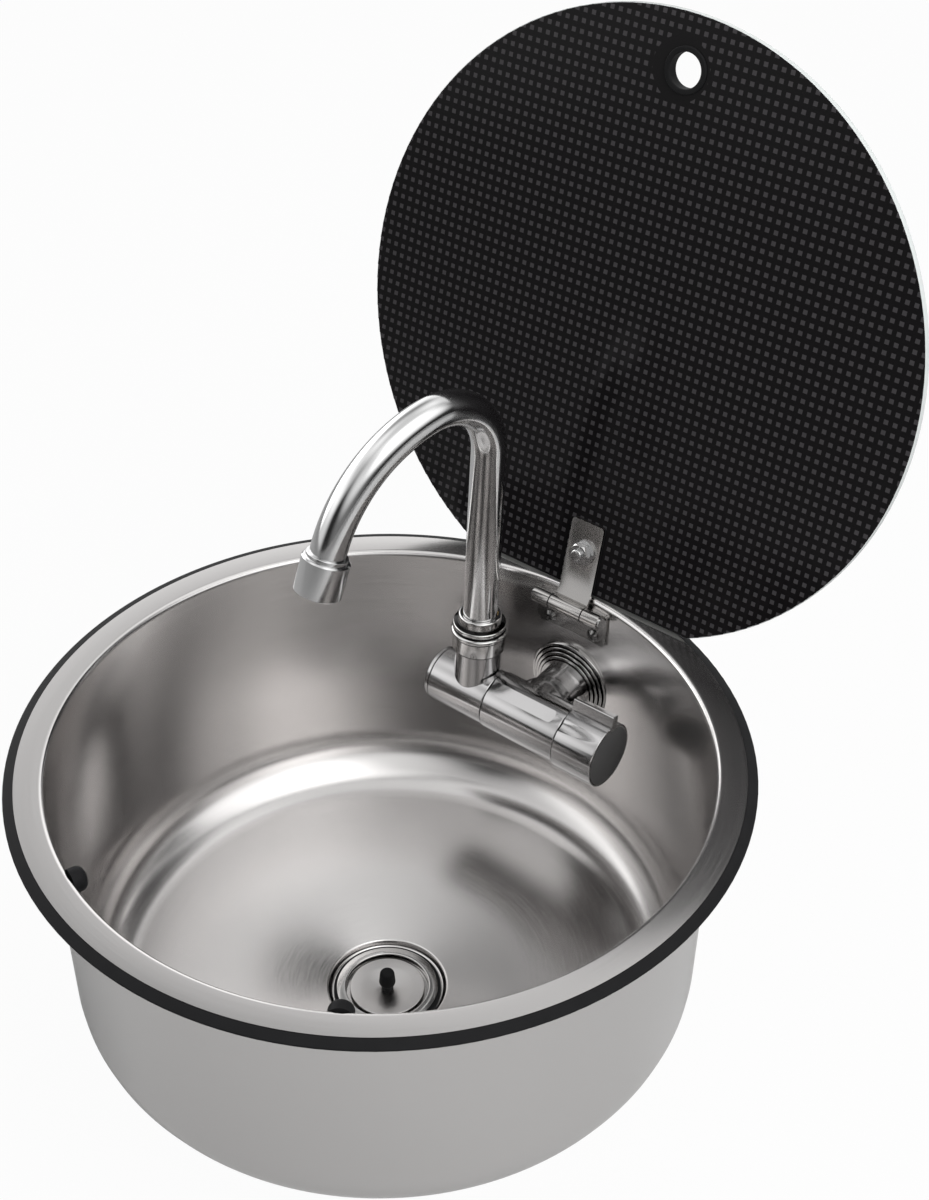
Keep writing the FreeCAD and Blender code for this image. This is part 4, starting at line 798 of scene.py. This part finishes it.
@dataclass
class CopiedPieces:
    """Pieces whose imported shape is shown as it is, smoothed."""

    finishes: dict[str, Metal | Moulded | DottedGlass] = field(
        default_factory=lambda: {
            "hinge_plate": HINGE_STEEL,
            "hinge_screws": SCREW_STEEL,
            "hinge_pin": FASTENER,
            "lid_glass": PRINTED_GLASS,
            "lid_grommet": RUBBER,
            "lid_strap": HINGE_STEEL,
            "strap_pad": RUBBER,
            "lid_bolt": FASTENER,
            "lid_bolt_sleeve": PALE_PLASTIC,
            "lid_bolt_washer": FASTENER,
            "lid_bolt_nut": FASTENER,
            "tap_flange": FLANGE_CHROME,
            "tap_body": SHADED_TAP_CHROME,
            "folding_elbow": SHADED_TAP_CHROME,
            "elbow_end_cap": SHADED_TAP_CHROME,
            "collar_nut": COLLAR_CHROME,
            "tap_knob": SHADED_TAP_CHROME,
            "knob_cap": DARK_PLASTIC,
            "spout_tube": SPOUT_CHROME,
            "aerator_housing": SPOUT_CHROME,
            "aerator_insert": PALE_PLASTIC,
            "waste_flange": TRIM_CHROME,
            "waste_gasket": RUBBER,
            "strainer_cover": STRAINER_STEEL,
            "strainer_knob": RUBBER,
            "strainer_basket": BOWL_STEEL,
            "strainer_stem": FASTENER,
            "waste_cup": PALE_PLASTIC,
            "waste_nut": PALE_PLASTIC,
            "waste_washer": RUBBER,
            "shank_seal": RUBBER,
            "shank_washer": FASTENER,
            "shank_nut": BRASS,
            "inlet_tail": BRASS,
            "tail_nut": BRASS,
            "hinge_screw_nuts": FASTENER,
        }
    )

    def build(self, shop: Workshop) -> None:
        """Builds and dresses the pieces."""
        for node, finish in self.finishes.items():
            shop.finish(node, node_copy(node), finish)


@dataclass
class InnerPieces:
    """Pieces that are closed in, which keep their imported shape."""

    finishes: dict[str, Metal | Moulded | DottedGlass] = field(
        default_factory=lambda: {
            "journal_seals": RUBBER,
            "elbow_retainer": FASTENER,
            "valve_cartridge": BRASS,
            "valve_disc_fixed": CERAMIC,
            "valve_disc_turning": CERAMIC,
            "valve_spindle": BRASS,
            "knob_screw": FASTENER,
            "spout_foot": BRASS,
            "spout_seals": RUBBER,
        }
    )

    def build(self, shop: Workshop) -> None:
        """Dresses the pieces."""
        for node, finish in self.finishes.items():
            shop.dress(node, finish)


@dataclass(frozen=True)
class Softbox:
    """A soft-edged panel of light that metal and glass mirror.

    Attributes:
        bearing_deg: its bearing, counted from the sink's right towards its back.
        rise_deg: its height over the horizon.
        reach_deg: how far from its middle it fades out.
        level: how bright its middle is, where one is white.
    """

    bearing_deg: float
    rise_deg: float
    reach_deg: float
    level: float

    def build(self, tree: bpy.types.NodeTree, place: bpy.types.NodeSocket) -> bpy.types.NodeSocket:
        """Adds the panel to the world's nodes.

        Args:
            tree: the world's node tree.
            place: the direction that is looked in.

        Returns:
            The panel's brightness in that direction.
        """
        bearing, rise = math.radians(self.bearing_deg), math.radians(self.rise_deg)
        middle = (math.cos(bearing) * math.cos(rise), math.sin(bearing) * math.cos(rise), math.sin(rise))
        near = add_node(tree, "ShaderNodeVectorMath", {0: place}, {1: middle}, operation="DOT_PRODUCT")
        rim = math.cos(math.radians(self.reach_deg))
        fade = add_node(
            tree,
            "ShaderNodeMapRange",
            {"Value": near.outputs["Value"]},
            {"From Min": rim, "From Max": 1.0, "To Min": 0.0, "To Max": self.level},
            interpolation_type="SMOOTHSTEP",
        )
        return fade.outputs[0]


@dataclass(frozen=True)
class Lamp:
    """A square soft lamp that lights the floor and everything that isn't metal.

    Attributes:
        name: its place in the studio's light.
        place_m: where it hangs, turned towards the object.
        size_m: its side.
        power_w: its power.
    """

    name: str
    place_m: tuple[float, float, float]
    size_m: float
    power_w: float

    def build(self) -> None:
        """Hangs the lamp, unseen by metal, which mirrors the soft panels and so shows no hard square."""
        data = bpy.data.lights.new(self.name, "AREA")
        data.shape = "SQUARE"
        data.size = self.size_m
        data.energy = self.power_w
        lamp = bpy.data.objects.new(self.name, data)
        lamp.location = self.place_m
        lamp.rotation_euler = (-Vector(self.place_m)).to_track_quat("-Z", "Y").to_euler()
        lamp.visible_glossy = False
        bpy.context.scene.collection.objects.link(lamp)


@dataclass
class Studio:
    """The floor, the surroundings, the lamps and the camera.

    Attributes:
        lens_mm: the focal length of the camera's lens.
        sensor_mm: the width of its sensor.
        clip_m: the nearest and the farthest that it sees.
        camera_mm: where the camera stands.
        right: the direction to the picture's right.
        up: the direction to the picture's top.
        back: the direction from the object to the camera.
        floor_reach_mm: how far the floor reaches each way.
        floor_drop_mm: how far it lies under the object.
        floor_roughness: how matt it is.
        floor_colour: its sRGB colour.
        floor_white: the share of white in it where it is seen straight.
        floor_mirrored: the share of white in it where metal mirrors it.
        diffuse_level: how bright the surroundings are for what isn't metal.
        room_level: how bright they are for metal between the soft panels.
        lamps: the lamps that light what isn't metal.
        softboxes: the soft panels that metal mirrors.
    """

    lens_mm: float = 63.335
    sensor_mm: float = 36.0
    clip_m: tuple[float, float] = (0.01, 50.0)
    camera_mm: tuple[float, float, float] = (527.6, -623.6, 747.7)
    right: tuple[float, float, float] = (0.79246771, 0.60987347, 0.00702007)
    up: tuple[float, float, float] = (-0.38171569, 0.4869574, 0.78559889)
    back: tuple[float, float, float] = (0.47569745, -0.62524143, 0.61869629)
    floor_reach_mm: float = 24000.0
    floor_drop_mm: float = 0.5
    floor_roughness: float = 0.9
    floor_colour: str = "#c4c4c4"
    floor_white: float = 0.96
    floor_mirrored: float = 0.1
    diffuse_level: float = 0.35
    room_level: float = 0.03
    lamps: tuple[Lamp, ...] = (
        Lamp("key", (1.6, -0.3, 1.3), 0.9, 32.0),
        Lamp("fill", (-1.2, -1.2, 1.0), 1.2, 5.0),
        Lamp("top", (0.3, 0.5, 1.9), 1.2, 14.0),
    )
    softboxes: tuple[Softbox, ...] = (
        Softbox(0, 45, 38, 1.8),
        Softbox(90, 45, 38, 1.1),
        Softbox(180, 45, 38, 0.5),
        Softbox(225, 45, 38, 0.85),
        Softbox(315, 45, 38, 1.0),
        Softbox(90, 12, 38, 0.55),
        Softbox(135, 12, 38, 1.6),
        Softbox(180, 12, 38, 2.9),
        Softbox(225, 12, 38, 1.0),
        Softbox(315, 12, 38, 0.2),
        Softbox(0, 90, 38, 0.95),
    )

    def build(self) -> None:
        """Builds the studio."""
        self._camera()
        self._floor()
        self._world()
        for lamp in self.lamps:
            lamp.build()

    def _camera(self) -> None:
        """Stands the camera where the photograph was taken from."""
        data = bpy.data.cameras.new("camera")
        data.lens = self.lens_mm
        data.sensor_width = self.sensor_mm
        data.sensor_fit = "AUTO"
        data.clip_start, data.clip_end = self.clip_m
        camera = bpy.data.objects.new("camera", data)
        columns = Matrix((self.right, self.up, self.back)).transposed()
        camera.matrix_world = Matrix.Translation(Vector(self.camera_mm) * MM) @ columns.to_4x4()
        bpy.context.scene.collection.objects.link(camera)
        bpy.context.scene.camera = camera

    def _seen(self, tree: bpy.types.NodeTree) -> bpy.types.NodeSocket:
        """Gives the floor's share of plain white, for rays that show it straight or in metal and glass.

        Args:
            tree: the node tree to add to.

        Returns:
            The share, which is zero for the light that the floor throws on other things.
        """
        path = add_node(tree, "ShaderNodeLightPath")
        shares = [
            math_node(tree, "MULTIPLY", path.outputs[ray], share)
            for ray, share in (
                ("Is Camera Ray", self.floor_white),
                ("Is Glossy Ray", self.floor_mirrored),
                ("Is Transmission Ray", self.floor_white),
            )
        ]
        return math_node(tree, "MAXIMUM", math_node(tree, "MAXIMUM", shares[0], shares[1]), shares[2])

    def _floor(self) -> None:
        """Lays a pale floor just under the object that keeps its shadow."""
        low = cad_box[0][2] - self.floor_drop_mm * MM
        bm = bmesh.new()
        bmesh.ops.create_grid(bm, x_segments=1, y_segments=1, size=self.floor_reach_mm * MM)
        bmesh.ops.translate(bm, vec=(0, 0, low), verts=bm.verts[:])
        data = bpy.data.meshes.new("floor")
        bm.to_mesh(data)
        bm.free()
        floor = bpy.data.objects.new("floor", data)
        bpy.context.scene.collection.objects.link(floor)
        material, tree, shader = start_material("pale studio floor")
        shader.inputs["Base Color"].default_value = to_linear(self.floor_colour)
        shader.inputs["Roughness"].default_value = self.floor_roughness
        glow = add_node(tree, "ShaderNodeEmission", values={"Strength": 1.0})
        layers = {0: self._seen(tree), 1: shader.outputs[0], 2: glow.outputs[0]}
        mix = add_node(tree, "ShaderNodeMixShader", layers)
        output = next(n for n in tree.nodes if n.type == "OUTPUT_MATERIAL")
        tree.links.new(mix.outputs[0], output.inputs["Surface"])
        data.materials.append(material)

    def _world(self) -> None:
        """Surrounds the object with soft light, and with white where it is seen."""
        world = bpy.data.worlds.new("studio")
        world.use_nodes = True
        tree = world.node_tree
        tree.nodes.clear()
        soft = add_node(tree, "ShaderNodeBackground", values={"Color": WHITE, "Strength": self.diffuse_level})
        white = add_node(tree, "ShaderNodeBackground", values={"Color": WHITE, "Strength": 1.0})
        place = add_node(tree, "ShaderNodeTexCoord").outputs["Generated"]
        level = self.room_level
        for softbox in self.softboxes:
            level = math_node(tree, "ADD", level, softbox.build(tree, place))
        room = add_node(tree, "ShaderNodeBackground", {"Strength": level}, {"Color": WHITE})
        path = add_node(tree, "ShaderNodeLightPath")
        mirrored = {0: path.outputs["Is Glossy Ray"], 1: soft.outputs[0], 2: room.outputs[0]}
        gloss = add_node(tree, "ShaderNodeMixShader", mirrored)
        seen = {0: path.outputs["Is Camera Ray"], 1: gloss.outputs[0], 2: white.outputs[0]}
        mix = add_node(tree, "ShaderNodeMixShader", seen)
        output = add_node(tree, "ShaderNodeOutputWorld")
        tree.links.new(mix.outputs[0], output.inputs["Surface"])
        bpy.context.scene.world = world


def main() -> None:
    """Builds the studio and every sub-assembly, and reports each piece."""
    logging.basicConfig(level=logging.INFO, format="%(name)s: %(message)s")
    bpy.context.scene.view_settings.view_transform = "Standard"
    Studio().build()
    shop = Workshop(Wardrobe())
    for assembly in (Bowl(), CopiedPieces(), InnerPieces()):
        assembly.build(shop)
    missing = set(frame["nodes"]) - shop.done
    if missing:
        LOG.warning("not dressed: %s", sorted(missing))


if __name__ == "__main__":
    main()
